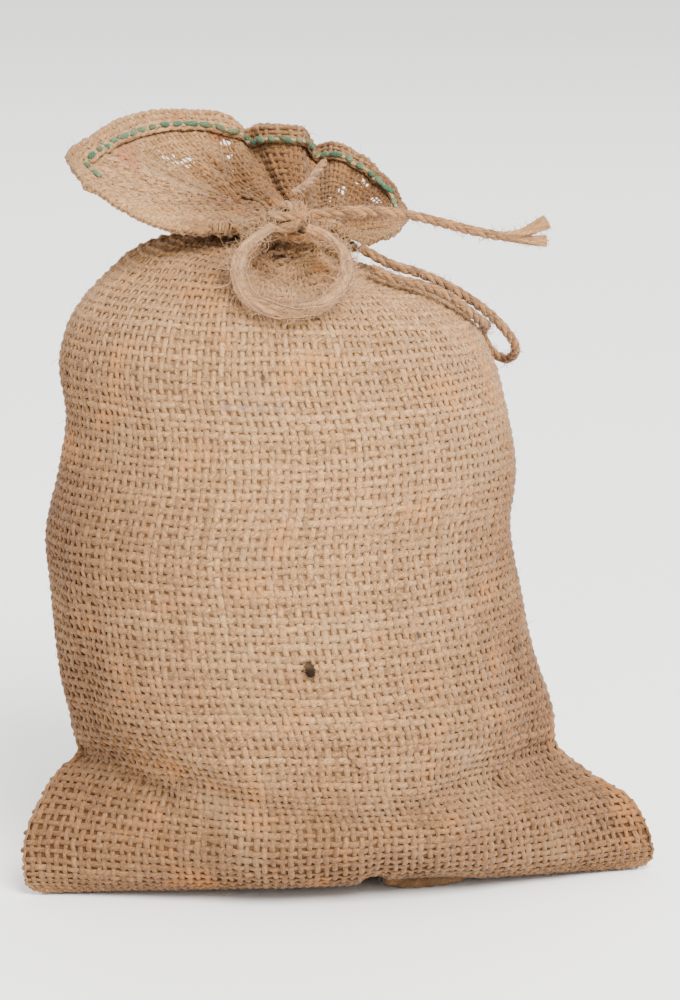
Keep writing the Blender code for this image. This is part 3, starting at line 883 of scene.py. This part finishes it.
# Creases below the mouth, and the slow unevenness, which fades out at the floor.
def creaseCloth(grid, length, mouthRow, shape):
    normals = gridNormals(grid)
    for points, depth, width, side in shape["creases"]:
        mask = creaseMask(grid, normals, points, width, side)
        mask[mouthRow:] = 0.0
        grid = grid - normals * (depth * mask)[:, :, None]
    around = np.linspace(0.0, 2.0 * math.pi, grid.shape[1], endpoint=False)
    slow = sum(np.sin(turns * around[None, :] + length[:, None] / rise + start) * height
               for turns, rise, start, height in shape["unevenness"])
    calm = np.clip(grid[:, :, 2] / 12.0, 0.0, 1.0)
    return grid + normals * (slow * calm)[:, :, None]


# The loose mouth: ruffles that grow towards the edge, and dents.
def ruffleMouth(grid, length, bodyTop, wander, shape):
    columns = grid.shape[1]
    share = np.clip((length - length[bodyTop]) / (length[-1] - length[bodyTop]), 0.0, 1.0)
    around = np.arange(columns) / columns
    ruffle, drop = np.zeros(columns), np.zeros(columns)
    edge = grid[-1]
    edgeLength = np.linalg.norm(edge - np.roll(edge, 1, axis=0), axis=1).sum()
    for x, y, width, height, fall in shape["ruffles"]:
        centre = np.argmin(np.hypot(edge[:, 0] - x, edge[:, 1] - y)) / columns
        gap = ((around - centre + 0.5) % 1.0 - 0.5) * edgeLength
        ruffle += height * np.exp(-(gap / width) ** 2)
        drop += fall * np.exp(-(gap / width) ** 2)
    ruffle += 0.55 * waves(17, columns, 5.0 * wander) * (0.6 + 0.4 * waves(3, columns, 1.0))
    normals = gridNormals(grid)
    grid = grid + normals * (share[:, None] ** 1.3 * ruffle)[:, :, None]
    grid[:, :, 2] -= share[:, None] ** 2 * drop
    for x, y, z, width, depth in shape["dents"]:
        near = np.exp(-(np.linalg.norm(grid - [x, y, z], axis=2) / width) ** 2)
        near[:bodyTop + 2] = 0.0
        grid = grid + normals * (depth * near)[:, :, None]
    return grid


# The folded hem: over the edge and back down inside.
def foldHem(grid, shape):
    rim = len(grid) - 1
    normals = gridNormals(grid)
    edge, edgeNormal = grid[rim], normals[rim]
    down = grid[rim - 1] - edge
    down /= np.linalg.norm(down, axis=1)[:, None]
    gap = shape["hemGap"] * hemSide(len(edge))[:, None]
    over = [edge - edgeNormal * gap * (1 - math.cos(a)) - down * np.abs(gap) * math.sin(a)
            for a in (math.pi / 3, 2 * math.pi / 3)]
    inside = [grid[rim - k] - normals[rim - k] * 2.0 * gap for k in range(shape["hemRows"])]
    return np.concatenate([grid, over, inside])


# The cloth that lies on the floor rises a little in its middle, and its front edge is notched.
def lieOnFloor(grid, shape):
    grid[:, :, 2] += shape["floorGap"] * np.exp(-grid[:, :, 2] / 4.0)
    for at, halfWidth, height in shape["notches"]:
        lifted = np.exp(-((grid[:, :, 0] - at) / halfWidth) ** 4) * np.exp(-grid[:, :, 2] / 9.0)
        lifted *= np.clip((-8.0 - grid[:, :, 1]) / 5.0, 0.0, 1.0)
        grid[:, :, 2] += height * lifted
        grid[:, :, 1] += 1.0 * lifted


# The cloth as rows of points from the seam underneath to the hem, each closed round the sack,
# with the numbers of the rows at the edge of the mouth and at the top of the neck.
def makeClothGrid(shape):
    columns = shape["columns"]
    rows = np.array(shape["levels"], float)
    knots = chordKnots(rows[:, [0, 1, 4, 5]])
    wanted = np.linspace(0.0, knots[-1], int(knots[-1] / shape["rowStep"]))
    body = [levelOutline(level, columns) for level in cubicThrough(rows, knots, wanted)]
    under = layBottom(body[0], shape)
    grid = np.array(under + body + layMouth(body[-1], shape))
    bodyTop = len(under) + len(body) - 1
    rim = len(grid) - 1
    steps = np.linalg.norm(np.diff(grid, axis=0), axis=2).mean(axis=1)
    length = np.concatenate([[0.0], np.cumsum(steps)])
    rng = np.random.default_rng(shape["seed"])
    wander = 0.9 * softNoise(rng, np.arange(columns) / columns, 4, 0.25)
    push = gatherPush(length - length[bodyTop - 2], wander, shape)
    grid = grid + gridNormals(grid) * push[:, :, None]
    grid = creaseCloth(grid, length, rim - shape["mouthRows"] - 6, shape)
    grid = ruffleMouth(grid, length, bodyTop, wander, shape)
    grid = foldHem(grid, shape)
    lieOnFloor(grid, shape)
    return grid, rim, bodyTop


clothGrid, rimRow, neckRow = makeClothGrid(sack)
clothNormals = gridNormals(clothGrid)
clothNormals[0] = clothNormals[1]
rimLength = np.linalg.norm(clothGrid[rimRow] - np.roll(clothGrid[rimRow], 1, axis=0), axis=1).sum()
print("cloth laid out", clothGrid.shape, "rim", round(rimLength, 1), "mm")


# Values of a grid at rows and columns that need not be whole.
def sampleGrid(grid, row, column):
    row = np.clip(row, 0.0, len(grid) - 1.001)
    column = np.mod(column, grid.shape[1])
    r, c = row.astype(int), column.astype(int) % grid.shape[1]
    fr, fc = (row - r), (column - np.floor(column))
    if grid.ndim == 3:
        fr, fc = fr[:, None], fc[:, None]
    nextColumn = (c + 1) % grid.shape[1]
    return ((1 - fr) * ((1 - fc) * grid[r, c] + fc * grid[r, nextColumn])
            + fr * ((1 - fc) * grid[r + 1, c] + fc * grid[r + 1, nextColumn]))


weave = {
    "warps": 156,
    "weftPitch": 2.96,
    "warpWidth": 1.98,
    "weftWidth": 2.18,
    "flatness": 0.62,
    "interlace": 0.40,      # how far a thread goes over and under
    "fullRoom": 2.4,        # where threads lie closer than this, they also go over less far
    "hemPitch": 1.5,        # the hem is beaten this much closer
    "wander": 0.15,         # how far a thread strays sideways, as a share of the spacing
    "unevenness": 0.20,
    "slack": 0.26,          # how much thinner the threads are where the weave is open
    "sides": 5,
    "twist": 120.0,         # turns of a thread's fibres in a metre
    "toneSpread": 0.17,     # how much threads differ from each other in tone
    # Along a thread, counted in crossings: the longest waves of its straying, its swelling and
    # its tone, and how far the tone goes
    "warpWaves": (26.0, 12.0, 30.0, 0.12),
    "weftWaves": (34.0, 14.0, 40.0, 0.14),
    "seed": 23,
}


# Painted shade, where the light falls off (the sides, the bottom, the pinched corners, under the lip
# and the loop, the mouth's hollows): x, y, z, radius, amount.
paintedShadePlaces = [
    (-96, -10, 120, 48, 1), (-90, -6, 60, 46, 1),
    (-104, -10, 15, 50, 0.75), (100, -10, 20, 50, 0.95),
    (66, -8, 62, 44, 1), (64, 0, 115, 44, 1), (-96, -6, 165, 28, 0.6),
    (60, 0, 90, 34, 0.6), (0, -45, 20, 60, 0.35),
    (0, -40, -8, 42, 0.75), (-50, -40, -8, 42, 0.7), (50, -40, -8, 42, 0.7),
    (-82, -14, 43, 12, 0.8), (72, -14, 40, 12, 0.8),
    (-12, 10, 220, 17, 0.95), (-12, 26, 226, 12, 0.7), (12, 12, 212, 18, 0.95),
    (-2, 30, 228, 6, 0.9), (-36, -10, 214, 9, 0.9), (-28, -2, 213, 11, 0.9),
    (-34, 12, 219, 13, 0.6), (-47, -24, 209, 5, 0.6), (-32, -20, 211, 6, 0.7),
    (-52, -30, 196, 9, 0.5), (-36, -28, 198, 9, 0.75),
    (-24, -18, 205, 8, 0.8), (-44, -22, 205, 7, 0.6), (-84, -4, 228, 9, 0.5),
    (4, 2, 205, 10, 0.7), (-8, -26, 199, 6, 0.6), (-26, -20, 204, 6.5, 0.95),
    (-15, -27, 196, 5, 0.75), (-32, 6, 218, 8, 0.8), (-52, 10, 222, 26, 0.3),
    (-26, -24, 198, 6, 0.9), (-29, 20, 221, 9, 1), (-27, 28, 229, 7, 0.8),
    (-12, 18, 222, 12, 0.8), (14, 14, 214, 12, 0.8),
    (-40, -14, 212, 8, 0.6), (-31, 9, 212.4, 5.5, 1), (-29, 25, 222, 4.5, 0.9),
]
# Where the weave is looser: x, y, z, radius, amount.
openPlaces = [
    (-104, -10, 10, 44, 0.7), (100, -10, 12, 46, 0.7), (-60, -30, 188, 34, 0.7),
    (20, -30, 178, 34, 0.6), (-10, 10, 222, 34, 0.7), (0, -50, 12, 36, 0.5),
    (-90, -10, 90, 30, 0.5),
]


# How far points lie inside any of a list of soft spots, 0 to 1.
def spotsAt(points, spots):
    total = np.zeros(len(points))
    for x, y, z, radius, amount in spots:
        far = np.linalg.norm((points - [x, y, z]), axis=1)
        total = 1.0 - (1.0 - total) * (1.0 - amount * np.exp(-(far / radius) ** 2))
    return total


# How deep the painted shade is at each point, 0 to 1.
def paintedShadeAt(points):
    return spotsAt(points, paintedShadePlaces)


# Thin places in the mouth: x, y, z, radius, strength.
thinPlaces = [(-50, 22, 227, 4.5, 1), (-44, 22, 226, 3.6, 1),
              (-31, 32.5, 229.5, 2.4, 1), (-29.9, 29.6, 226.4, 2.4, 1),
              (-29, 26, 222.4, 2.2, 1), (-28.2, 22.5, 218.4, 2.2, 1),
              (-28.6, 17.5, 214.6, 1.8, 1), (10.4, 21, 218.6, 3.6, 0.9),
              (5, 19.3, 215.2, 3, 0.9), (-0.5, 17, 212.8, 2.2, 0.9),
              (14, 13, 213, 3.4, 0.9)]


def sheerAt(points):
    sheer = np.zeros(len(points))
    for x, y, z, radius, strength in thinPlaces:
        far = np.linalg.norm(points - [x, y, z], axis=1)
        sheer = np.maximum(sheer, strength * np.clip(1.6 - far / radius, 0.0, 1.0))
    return sheer


# Every upright thread and every cross thread of the weave, as points, normals, half widths in
# metres and tones. Each has a point at every crossing and one between.
def makeThreads(grid, normals, cut):
    rng = np.random.default_rng(cut["seed"])
    columns = grid.shape[1]
    acrossStep = np.linalg.norm(np.roll(grid, -1, axis=1) - grid, axis=2)
    upStep = np.linalg.norm(np.gradient(grid, axis=0), axis=2)
    rowSteps = np.percentile(np.linalg.norm(np.diff(grid, axis=0), axis=2), 70, axis=1)
    rowSteps[rimRow - 4:] *= cut["hemPitch"]
    rowLength = np.concatenate([[0.0], np.cumsum(rowSteps)])
    count = int(round(rowLength[-1] / cut["weftPitch"]))
    weftLength = (np.arange(count) + 0.5) * rowLength[-1] / count
    weftRow = np.interp(weftLength, rowLength, np.arange(len(grid)))
    warpColumn = np.arange(cut["warps"]) * columns / cut["warps"]
    weftTone, warpTone = (np.clip(0.5 + cut["toneSpread"] * rng.standard_normal(number), 0.0, 1.0)
                          for number in (count, cut["warps"]))

    # How one thread goes over (1) and under (-1), strays, swells and changes tone.
    def vary(number, steps, along, first, tone, waveLengths):
        strayWave, swellWave, toneWave, toneReach = waveLengths
        crossing = np.where((steps // 2 + number) % 2 == 0, first, -first)
        side = np.where(steps % 2 == 0, crossing, 0.0)
        stray = cut["wander"] * softNoise(rng, along, 5, strayWave)
        swell = softNoise(rng, along, 4, swellWave)
        tones = np.clip(tone + toneReach * softNoise(rng, along, 3, toneWave), 0.0, 1.0)
        return side, stray, swell, tones

    def thread(row, column, side, width, spacing, perThread, tone, swell):
        point = sampleGrid(grid, row, column)
        normal = sampleGrid(normals, row, column)
        normal /= np.maximum(np.linalg.norm(normal, axis=1), 1e-6)[:, None]
        room = sampleGrid(spacing, row, column) * perThread
        half = np.minimum(width / 2.0, 0.46 * room)
        half = half * (1.0 + cut["unevenness"] * swell) * (1.0 - 0.5 * sheerAt(point))
        half = half * (1.0 - cut["slack"] * spotsAt(point, openPlaces))
        lift = cut["interlace"] * np.clip(room / cut["fullRoom"], 0.25, 1.0)
        point = point + normal * (side * lift)[:, None]
        return point, normal, half * mm, tone

    warps, wefts = [], []
    rowsOfWarp = np.sort(np.concatenate([weftRow, (weftRow[1:] + weftRow[:-1]) / 2.0]))
    steps = np.arange(len(rowsOfWarp))
    for i, column in enumerate(warpColumn):
        side, stray, swell, tone = vary(i, steps, steps / 2.0, 1.0, warpTone[i], cut["warpWaves"])
        warps.append(thread(rowsOfWarp, column + stray * columns / cut["warps"], side,
                            cut["warpWidth"], acrossStep, columns / cut["warps"], tone, swell))
    rowsPerWeft = np.gradient(weftRow)
    steps = np.arange(2 * cut["warps"])
    loop = np.minimum(steps, 2 * cut["warps"] - steps) / 2.0     # the same both ways round
    column = steps * columns / (2.0 * cut["warps"])
    for j, row in enumerate(weftRow):
        side, stray, swell, tone = vary(j, steps, loop, -1.0, weftTone[j], cut["weftWaves"])
        wefts.append(thread(row + stray * rowsPerWeft[j], column, side, cut["weftWidth"], upStep,
                            rowsPerWeft[j], tone, swell))
    return warps, wefts


# Each thread's points carry its tone and the painted shade of the places they pass.
def growThreads(name, threads, closed):
    fields = {"out": [t[1] for t in threads], "thick": [t[2] for t in threads],
              "tone": [t[3] for t in threads], "shadeAndSoil": [paintedShadeAt(t[0]) for t in threads]}
    return growYarn(name, [t[0] for t in threads], closed, fields, weave["sides"],
                    weave["flatness"], weave["twist"], threadFinish)


warpThreads, weftThreads = makeThreads(clothGrid, clothNormals, weave)
half = weave["warps"] // 2
lower = len(weftThreads) // 2
threadPieces = [
    growThreads("warpsFront", warpThreads[:half], False),
    growThreads("warpsBack", warpThreads[half:], False),
    growThreads("weftsLower", weftThreads[:lower], True),
    growThreads("weftsUpper", weftThreads[lower:], True),
]
print("threads woven")


# The cloth behind the threads: fine broken fibres that fill the weave, open where it is sheer.
ground = {
    "inset": 0.40,           # how far it lies behind the threads, up to the tie
    "insetFade": 6.0,        # rows that the inset fades out over
    "weld": 0.02,            # points nearer than this are one point, as along the bottom seam
    "cornerFrom": 66.0,      # the corners are darker, out from here
    "cornerBelow": 46.0,
    "mouthFrom": 204.0,      # and so is the mouth, up from here
    "colour": (142, 105, 69),
    "shadeColour": (98, 71, 46),
    "grainColour": (108, 80, 54),
    "patchColour": (158, 120, 82),
}


def makeGroundFinish():
    material, tree, shader = newMaterial("weaveGround")
    place = addNode(tree, "ShaderNodeTexCoord").outputs["Object"]
    fine = noiseNode(tree, place, 1.1 / mm, 4.0)["Fac"]
    broad = noiseNode(tree, place, 0.06 / mm)["Fac"]
    colour = linear(*ground["colour"])
    for factor, tint in ((attributeNode(tree, "shade").outputs["Fac"], "shadeColour"),
                         (times(tree, fine, 0.55), "grainColour"),
                         (times(tree, broad, 0.25), "patchColour")):
        colour = mixColour(tree, factor, colour, linear(*ground[tint]))
    # Painted shade, as on the threads.
    colour = mixColour(tree, attributeNode(tree, "shadeAndSoil").outputs["Fac"], colour, shadeAndSoilTint,
                       blend_type="MULTIPLY")
    rough = mapRange(tree, fine, (0.0, 1.0), (0.9, 1.0))
    sheer = attributeNode(tree, "sheer").outputs["Fac"]
    coarse = noiseNode(tree, place, 0.5 / mm)["Fac"]
    gate = mathNode(tree, "GREATER_THAN", mathNode(tree, "MULTIPLY_ADD", sheer, -0.55, coarse), 0.0)
    for value, socket in ((colour, "Base Color"), (rough, "Roughness"), (gate, "Alpha")):
        tree.links.new(value, shader.inputs[socket])
    addRelief(tree, shader, fine, 0.6, 0.3)
    shader.inputs["Specular IOR Level"].default_value = 0.1
    return material


def makeGround(grid, normals):
    rows, columns = grid.shape[:2]
    keep = np.arange(0, columns, 2)
    toTie = (neckRow + 2 - np.arange(rows)) / ground["insetFade"]
    inset = ground["inset"] * np.clip(toTie, 0.0, 1.0)
    points = (grid - normals * inset[:, None, None])[:, keep].reshape(-1, 3)
    corner = np.clip((np.abs(points[:, 0]) - ground["cornerFrom"]) / 14.0, 0, 1)
    corner = corner * (points[:, 2] < ground["cornerBelow"])
    mouth = np.clip((points[:, 2] - ground["mouthFrom"]) / 8.0, 0, 1)
    piece = meshObject("sackCloth", points, [], ringFaces(rows, len(keep)), {
        "shade": np.maximum(0.85 * corner, 0.6 * mouth), "sheer": sheerAt(points),
        "shadeAndSoil": paintedShadeAt(points)})
    working = bmesh.new()
    working.from_mesh(piece.data)
    bmesh.ops.remove_doubles(working, verts=working.verts[:], dist=ground["weld"] * mm)
    working.to_mesh(piece.data)
    working.free()
    piece.data.shade_smooth()
    piece.data.materials.append(makeGroundFinish())
    return piece


sackCloth = makeGround(clothGrid, clothNormals)
print("cloth made")


# The bunched cloth that fills the neck inside the tie, drawn in and down to its middle.
throat = {
    "row": -1,               # rows above the top of the neck
    "depth": 7.0,
    "rings": 9,
    "pleats": 26,
    "pleatHeight": 2.2,
    "threads": 78,
    "threadWidth": 1.1,
}


def makeThroat(shape):
    row = neckRow + shape["row"]
    ring = clothGrid[row] - clothNormals[row] * 0.6
    columns = len(ring)
    centre = ring.mean(axis=0) - [0.0, 0.0, shape["depth"]]
    wave = waves(shape["pleats"], columns)
    rings = []
    for share in np.linspace(0.0, 1.0, shape["rings"] + 1)[:-1]:
        drawn = ring * (1 - share) + centre * share
        drawn[:, 2] += shape["depth"] * share * (1 - share) * 1.4
        drawn[:, 2] += shape["pleatHeight"] * wave * np.sin(math.pi * share ** 0.7)
        rings.append(drawn)
    rings = np.array(rings)
    count = columns * len(rings)
    last = count - columns
    faces = ringFaces(len(rings), columns)
    faces += [(last + c, last + (c + 1) % columns, count) for c in range(columns)]
    # Painted shade: the throat cloth is darkened all over, deep inside the neck.
    cloth = meshObject("throatCloth", np.vstack([rings.reshape(-1, 3), centre[None, :]]), [], faces,
                       {name: np.full(count + 1, value) for name, value in
                        (("shade", 0.9), ("sheer", 0.0), ("shadeAndSoil", 0.9))})
    cloth.data.shade_smooth()
    cloth.data.materials.append(sackCloth.data.materials[0])
    lines = []
    for c in range(0, columns, columns // shape["threads"]):
        line = evenly(np.vstack([rings[:, c], centre[None, :]]) + [0.0, 0.0, 0.35], 18)
        taper = shape["threadWidth"] / 2.0 * np.linspace(1.0, 0.35, len(line)) * mm
        lines.append((line, np.tile([0.0, 0.0, 1.0], (len(line), 1)), taper,
                      np.full(len(line), 0.3 + 0.4 * ((c * 7) % 11) / 11.0)))
    return [cloth, growThreads("throatThreads", lines, False)]


throatPieces = makeThroat(throat)
print("neck filled")


# Green stitches round the mouth, a row of short floats a little below the edge.
stitches = {
    "inset": 3.6,
    "pitch": 4.6,
    "length": 2.1,           # half of one stitch
    "thickness": 0.95,
    "standOff": 0.95,
    "runThickness": 0.55,    # half of the thread that runs on under the stitches
    "runDrop": 0.35,         # how much closer to the cloth that thread lies
    "seed": 4,
    # name, which face of the cloth, and where it starts and ends round the mouth
    "rows": [("stitchesOutside", 1.0, 0.46, 1.06), ("stitchesInside", -1.0, 0.49, 1.03)],
}


def stitchTree():
    tree, given = newTree("stitchTree", ["Pitch", "Half length", "Half thickness"], ["Seed"])
    curves = outNode(tree, "GeometryNodeMeshToCurve", {"Mesh": given["Geometry"]})
    spots = addNode(tree, "GeometryNodeCurveToPoints",
                    {"Curve": curves, "Length": given["Pitch"]}, mode="LENGTH")
    turn = outNode(tree, "FunctionNodeAxesToRotation",
                   {"Primary Axis": spots.outputs["Tangent"],
                    "Secondary Axis": namedField(tree, "out", "FLOAT_VECTOR")},
                   primary_axis="X", secondary_axis="Z")
    spun = spinRotation(tree, turn, randomValue(tree, -0.45, 0.45, given["Seed"]))
    bead = addNode(tree, "GeometryNodeMeshUVSphere", {"Segments": 8, "Rings": 7, "Radius": 1.0})
    reach = times(tree, given["Half length"], randomValue(tree, 0.6, 1.3, 9))
    size = combine(tree, reach, given["Half thickness"], times(tree, given["Half thickness"], 0.75))
    placed = outNode(tree, "GeometryNodeInstanceOnPoints",
                     {"Points": spots.outputs["Points"], "Instance": bead.outputs["Mesh"],
                      "Rotation": spun, "Scale": size})
    toned = storeField(tree, placed, "tone", randomValue(tree, 0.0, 1.0, 5), domain="INSTANCE")
    real = outNode(tree, "GeometryNodeRealizeInstances", {"Geometry": toned})
    position = outNode(tree, "GeometryNodeInputPosition")
    marked = storeField(tree, real, "grain", scaleVector(tree, position, 2200.0), "FLOAT_VECTOR")
    smooth = outNode(tree, "GeometryNodeSetShadeSmooth", {"Geometry": marked})
    return closeTree(tree, smooth, stitchFinish)


def stitchLine(side, first, last):
    upLength = np.concatenate([[0.0], np.cumsum(np.linalg.norm(
        np.diff(clothGrid[:rimRow + 1], axis=0), axis=2).mean(axis=1))])
    row = np.interp(upLength[-1] - stitches["inset"], upLength, np.arange(rimRow + 1))
    columns = clothGrid.shape[1]
    column = np.arange(int(first * columns), int(last * columns), dtype=float)
    rows = np.full(len(column), row)
    normal = sampleGrid(clothNormals, rows, column) * side
    point = sampleGrid(clothGrid, rows, column)
    folded = np.clip(-side * hemSide(columns)[column.astype(int) % columns], 0.0, 1.0)
    standOff = stitches["standOff"] + 2.0 * sack["hemGap"] * folded
    return point + normal * standOff[:, None], normal


stitchPieces = []
for name, side, first, last in stitches["rows"]:
    line, out = stitchLine(side, first, last)
    source = lineObject(name + "Line", [line], False, {"out": [out]})
    stitchPieces.append(growMesh(source, stitchTree(), {
        "Pitch": stitches["pitch"] * mm, "Half length": stitches["length"] * mm,
        "Half thickness": stitches["thickness"] * mm, "Seed": stitches["seed"]}, name))
    count = len(line)
    stitchPieces.append(growYarn(name + "Run", [line - out * stitches["runDrop"]], False, {
        "out": [out], "thick": [np.full(count, stitches["runThickness"] * mm)],
        "tone": [0.7 + 0.3 * np.sin(np.arange(count) * 0.9)], "shadeAndSoil": [np.zeros(count)]},
        6, 0.7, 160.0, runFinish))
print("stitches sewn")

clothFuzz = makeFuzz(sackCloth, "clothFibres")


# A stray knot of yarn on the belly, and the strip of seam that is folded under at the front.
def surfacePoint(x, z, lift):
    frontHalf = clothGrid[:rimRow, :clothGrid.shape[1] // 2]
    far = np.hypot(frontHalf[:, :, 0] - x, frontHalf[:, :, 2] - z) + 1e3 * (frontHalf[:, :, 2] > 200)
    row, column = np.unravel_index(np.argmin(far), far.shape)
    return clothGrid[row, column] + clothNormals[row, column] * lift


# Each is laid on the cloth at (x, z), or goes through points of its own. lift is how far it
# stands off, flat how flat it is, and the value after flat how much darker it is made: painted shade
# on the seam strip, its own darker colour on the slub and the burr.
strayYarn = {
    "slubYarn": {
        "on": [(-2.3, 56.4), (-3.9, 54.2), (-3.0, 51.9), (-0.6, 50.6), (-0.2, 48.0), (-1.4, 46.6)],
        "lift": 1.2, "points": 30, "width": 0.8, "flat": 0.8, "shadeAndSoil": 0.5, "finish": threadFinish,
    },
    # painted shade: the strip lies under the lifted bottom edge, so it is darkened
    "seamStrip": {
        "route": [(12.0, -19.0, 2.3), (18.0, -20.4, 1.9), (27.0, -20.0, 1.9), (38.0, -17.4, 2.1)],
        "points": 40, "width": 2.0, "flat": 0.8, "shadeAndSoil": 0.35, "finish": threadFinish,
    },
    "burr": {
        "on": [(-18.0, 81.8), (-16.6, 81.2), (-15.6, 79.8), (-15.8, 78.0)],
        "lift": 1.3, "points": 20, "width": 1.35, "flat": 0.75, "shadeAndSoil": 1.0, "finish": burrFinish,
    },
}


def strayPiece(name, yarn):
    route = yarn.get("route") or [surfacePoint(x, z, yarn["lift"]) for x, z in yarn["on"]]
    line = smoothRoute(route, yarn["points"])
    share = np.linspace(0.0, 1.0, len(line))
    bulge = np.clip(np.sin(np.pi * share), 0.0, 1.0) ** 0.35
    thick = yarn["width"] * (0.25 + 0.75 * bulge) * (1.0 + 0.15 * np.sin(share * 37.0))
    return growYarn(name, [line], False, {
        "out": [np.tile([0.0, -1.0, 0.15], (len(line), 1))], "thick": [thick * mm],
        "tone": [0.35 + 0.3 * np.sin(share * 21.0)], "shadeAndSoil": [np.full(len(line), yarn["shadeAndSoil"])]},
        8, yarn["flat"], 120.0, yarn["finish"])


strayPieces = [strayPiece(name, yarn) for name, yarn in strayYarn.items()]
print("stray yarn placed")


# The turn round the neck and the knot.
neckLevel = levelOutline(sack["levels"][-2], 44)
neckOut = neckLevel - neckLevel.mean(axis=0)
neckOut[:, 2] = 0.0
neckOut /= np.linalg.norm(neckOut, axis=1)[:, None]
tieWrap = makeTwine("tieWrap", neckLevel + neckOut * tie["wrapLift"], tie["diameter"],
                    twineFinish, closed=True)


def knotTurn(tilt, lean, radii, centre):
    turn = np.linspace(0.0, 2.0 * math.pi, 16, endpoint=False)
    ring = np.column_stack([np.cos(turn) * radii[0], np.sin(turn) * radii[1],
                            np.sin(turn + lean) * radii[2]])
    across = np.array([math.cos(tilt), 0.0, math.sin(tilt)])
    up = np.array([-math.sin(tilt), 0.0, math.cos(tilt)])
    return (np.asarray(centre) + ring[:, [0]] * across + ring[:, [1]] * np.array([0.0, 1.0, 0.0])
            + ring[:, [2]] * up)


tieKnot = joinMeshes([
    makeTwine(name, knotTurn(tilt, lean, radii, tie["knotCentre"]), diameter, twineFinish,
              closed=True)
    for name, tilt, lean, radii, diameter in tie["knotTurns"]], "tieKnot")
wrapFuzz = makeFuzz(tieWrap, "looseFibresWrap")
knotFuzz = makeFuzz(tieKnot, "looseFibresKnot")
print("tie made")


# What rides, and what replaces what.
for piece, node in ((frontLoop, "tie_loop_front"), (backLoop, "tie_loop_back"),
                    (rightEnd, "tie_end_right"), (tuckedEnd, "tie_end_tucked"),
                    (tieWrap, "tie_wrap"), (tieKnot, "tie_knot")):
    settle(piece, "twine", node)
for piece in (frontStrands, frontFuzz, backFuzz, rightFuzz, tuckedFuzz, wrapFuzz, knotFuzz,
              forkEnds, forkFuzz):
    settle(piece, "twine")
settle(sackCloth, "hessian", "sack_cloth")
clothPieces = threadPieces + throatPieces + stitchPieces + strayPieces + [clothFuzz]
for piece in clothPieces:
    settle(piece, "hessian")

cordFacts = [
    (frontLoop, "frontLoop", tie["looseDiameter"], "object", [frontStrands, frontFuzz]),
    (backLoop, "backLoop", tie["diameter"], "object", [backFuzz]),
    (rightEnd, "rightEnd", tie["diameter"], "bare", [rightFuzz, forkEnds, forkFuzz]),
    (tuckedEnd, "tuckedEnd", tie["diameter"], "bare", [tuckedFuzz]),
]
for piece, route, diameter, farEnd, companions in cordFacts:
    line = metres(smoothRoute(tie[route], 32))


# Floor and light.
studio = {
    "floorSize": 12.0,
    "floorColour": (0.90, 0.895, 0.885),
    "worldColour": (1.0, 0.995, 0.985),
    "worldStrength": 1.7,
    # place (x, y, z) in metres, size, power, colour
    "lights": [
        ("keyLight", (0.40, -1.65, 1.75), 1.1, 150.0, (1.0, 0.985, 0.96)),
        ("fillLight", (1.5, -1.3, 0.7), 1.2, 12.0, (1.0, 0.97, 0.94)),
        ("backLight", (0.3, 1.6, 1.6), 1.6, 20.0, (1.0, 1.0, 1.0)),
    ],
}


def makeStudio(setup):
    bpy.ops.mesh.primitive_plane_add(size=setup["floorSize"], location=(0, 0, 0))
    floor = bpy.context.object
    floor.name = "studioFloor"
    material, _, shader = newMaterial("studioFloor")
    shader.inputs["Base Color"].default_value = (*setup["floorColour"], 1.0)
    shader.inputs["Roughness"].default_value = 0.9
    floor.data.materials.append(material)
    world = bpy.data.worlds.new("studioWorld")
    world.use_nodes = True
    background = world.node_tree.nodes["Background"]
    background.inputs[0].default_value = (*setup["worldColour"], 1.0)
    background.inputs[1].default_value = setup["worldStrength"]
    bpy.context.scene.world = world
    for name, place, size, power, colour in setup["lights"]:
        lamp = bpy.data.lights.new(name, "AREA")
        lamp.energy, lamp.size, lamp.color = power, size, colour
        light = bpy.data.objects.new(name, lamp)
        light.location = place
        light.rotation_euler = (Vector((0, 0, 0.1)) - Vector(place)).to_track_quat(
            "-Z", "Y").to_euler()
        bpy.context.scene.collection.objects.link(light)
    print("studio set")


makeStudio(studio)
for piece in bpy.data.objects:
    if piece.type == "MESH":
        print(piece.name, sum(len(p.vertices) - 2 for p in piece.data.polygons), "triangles")
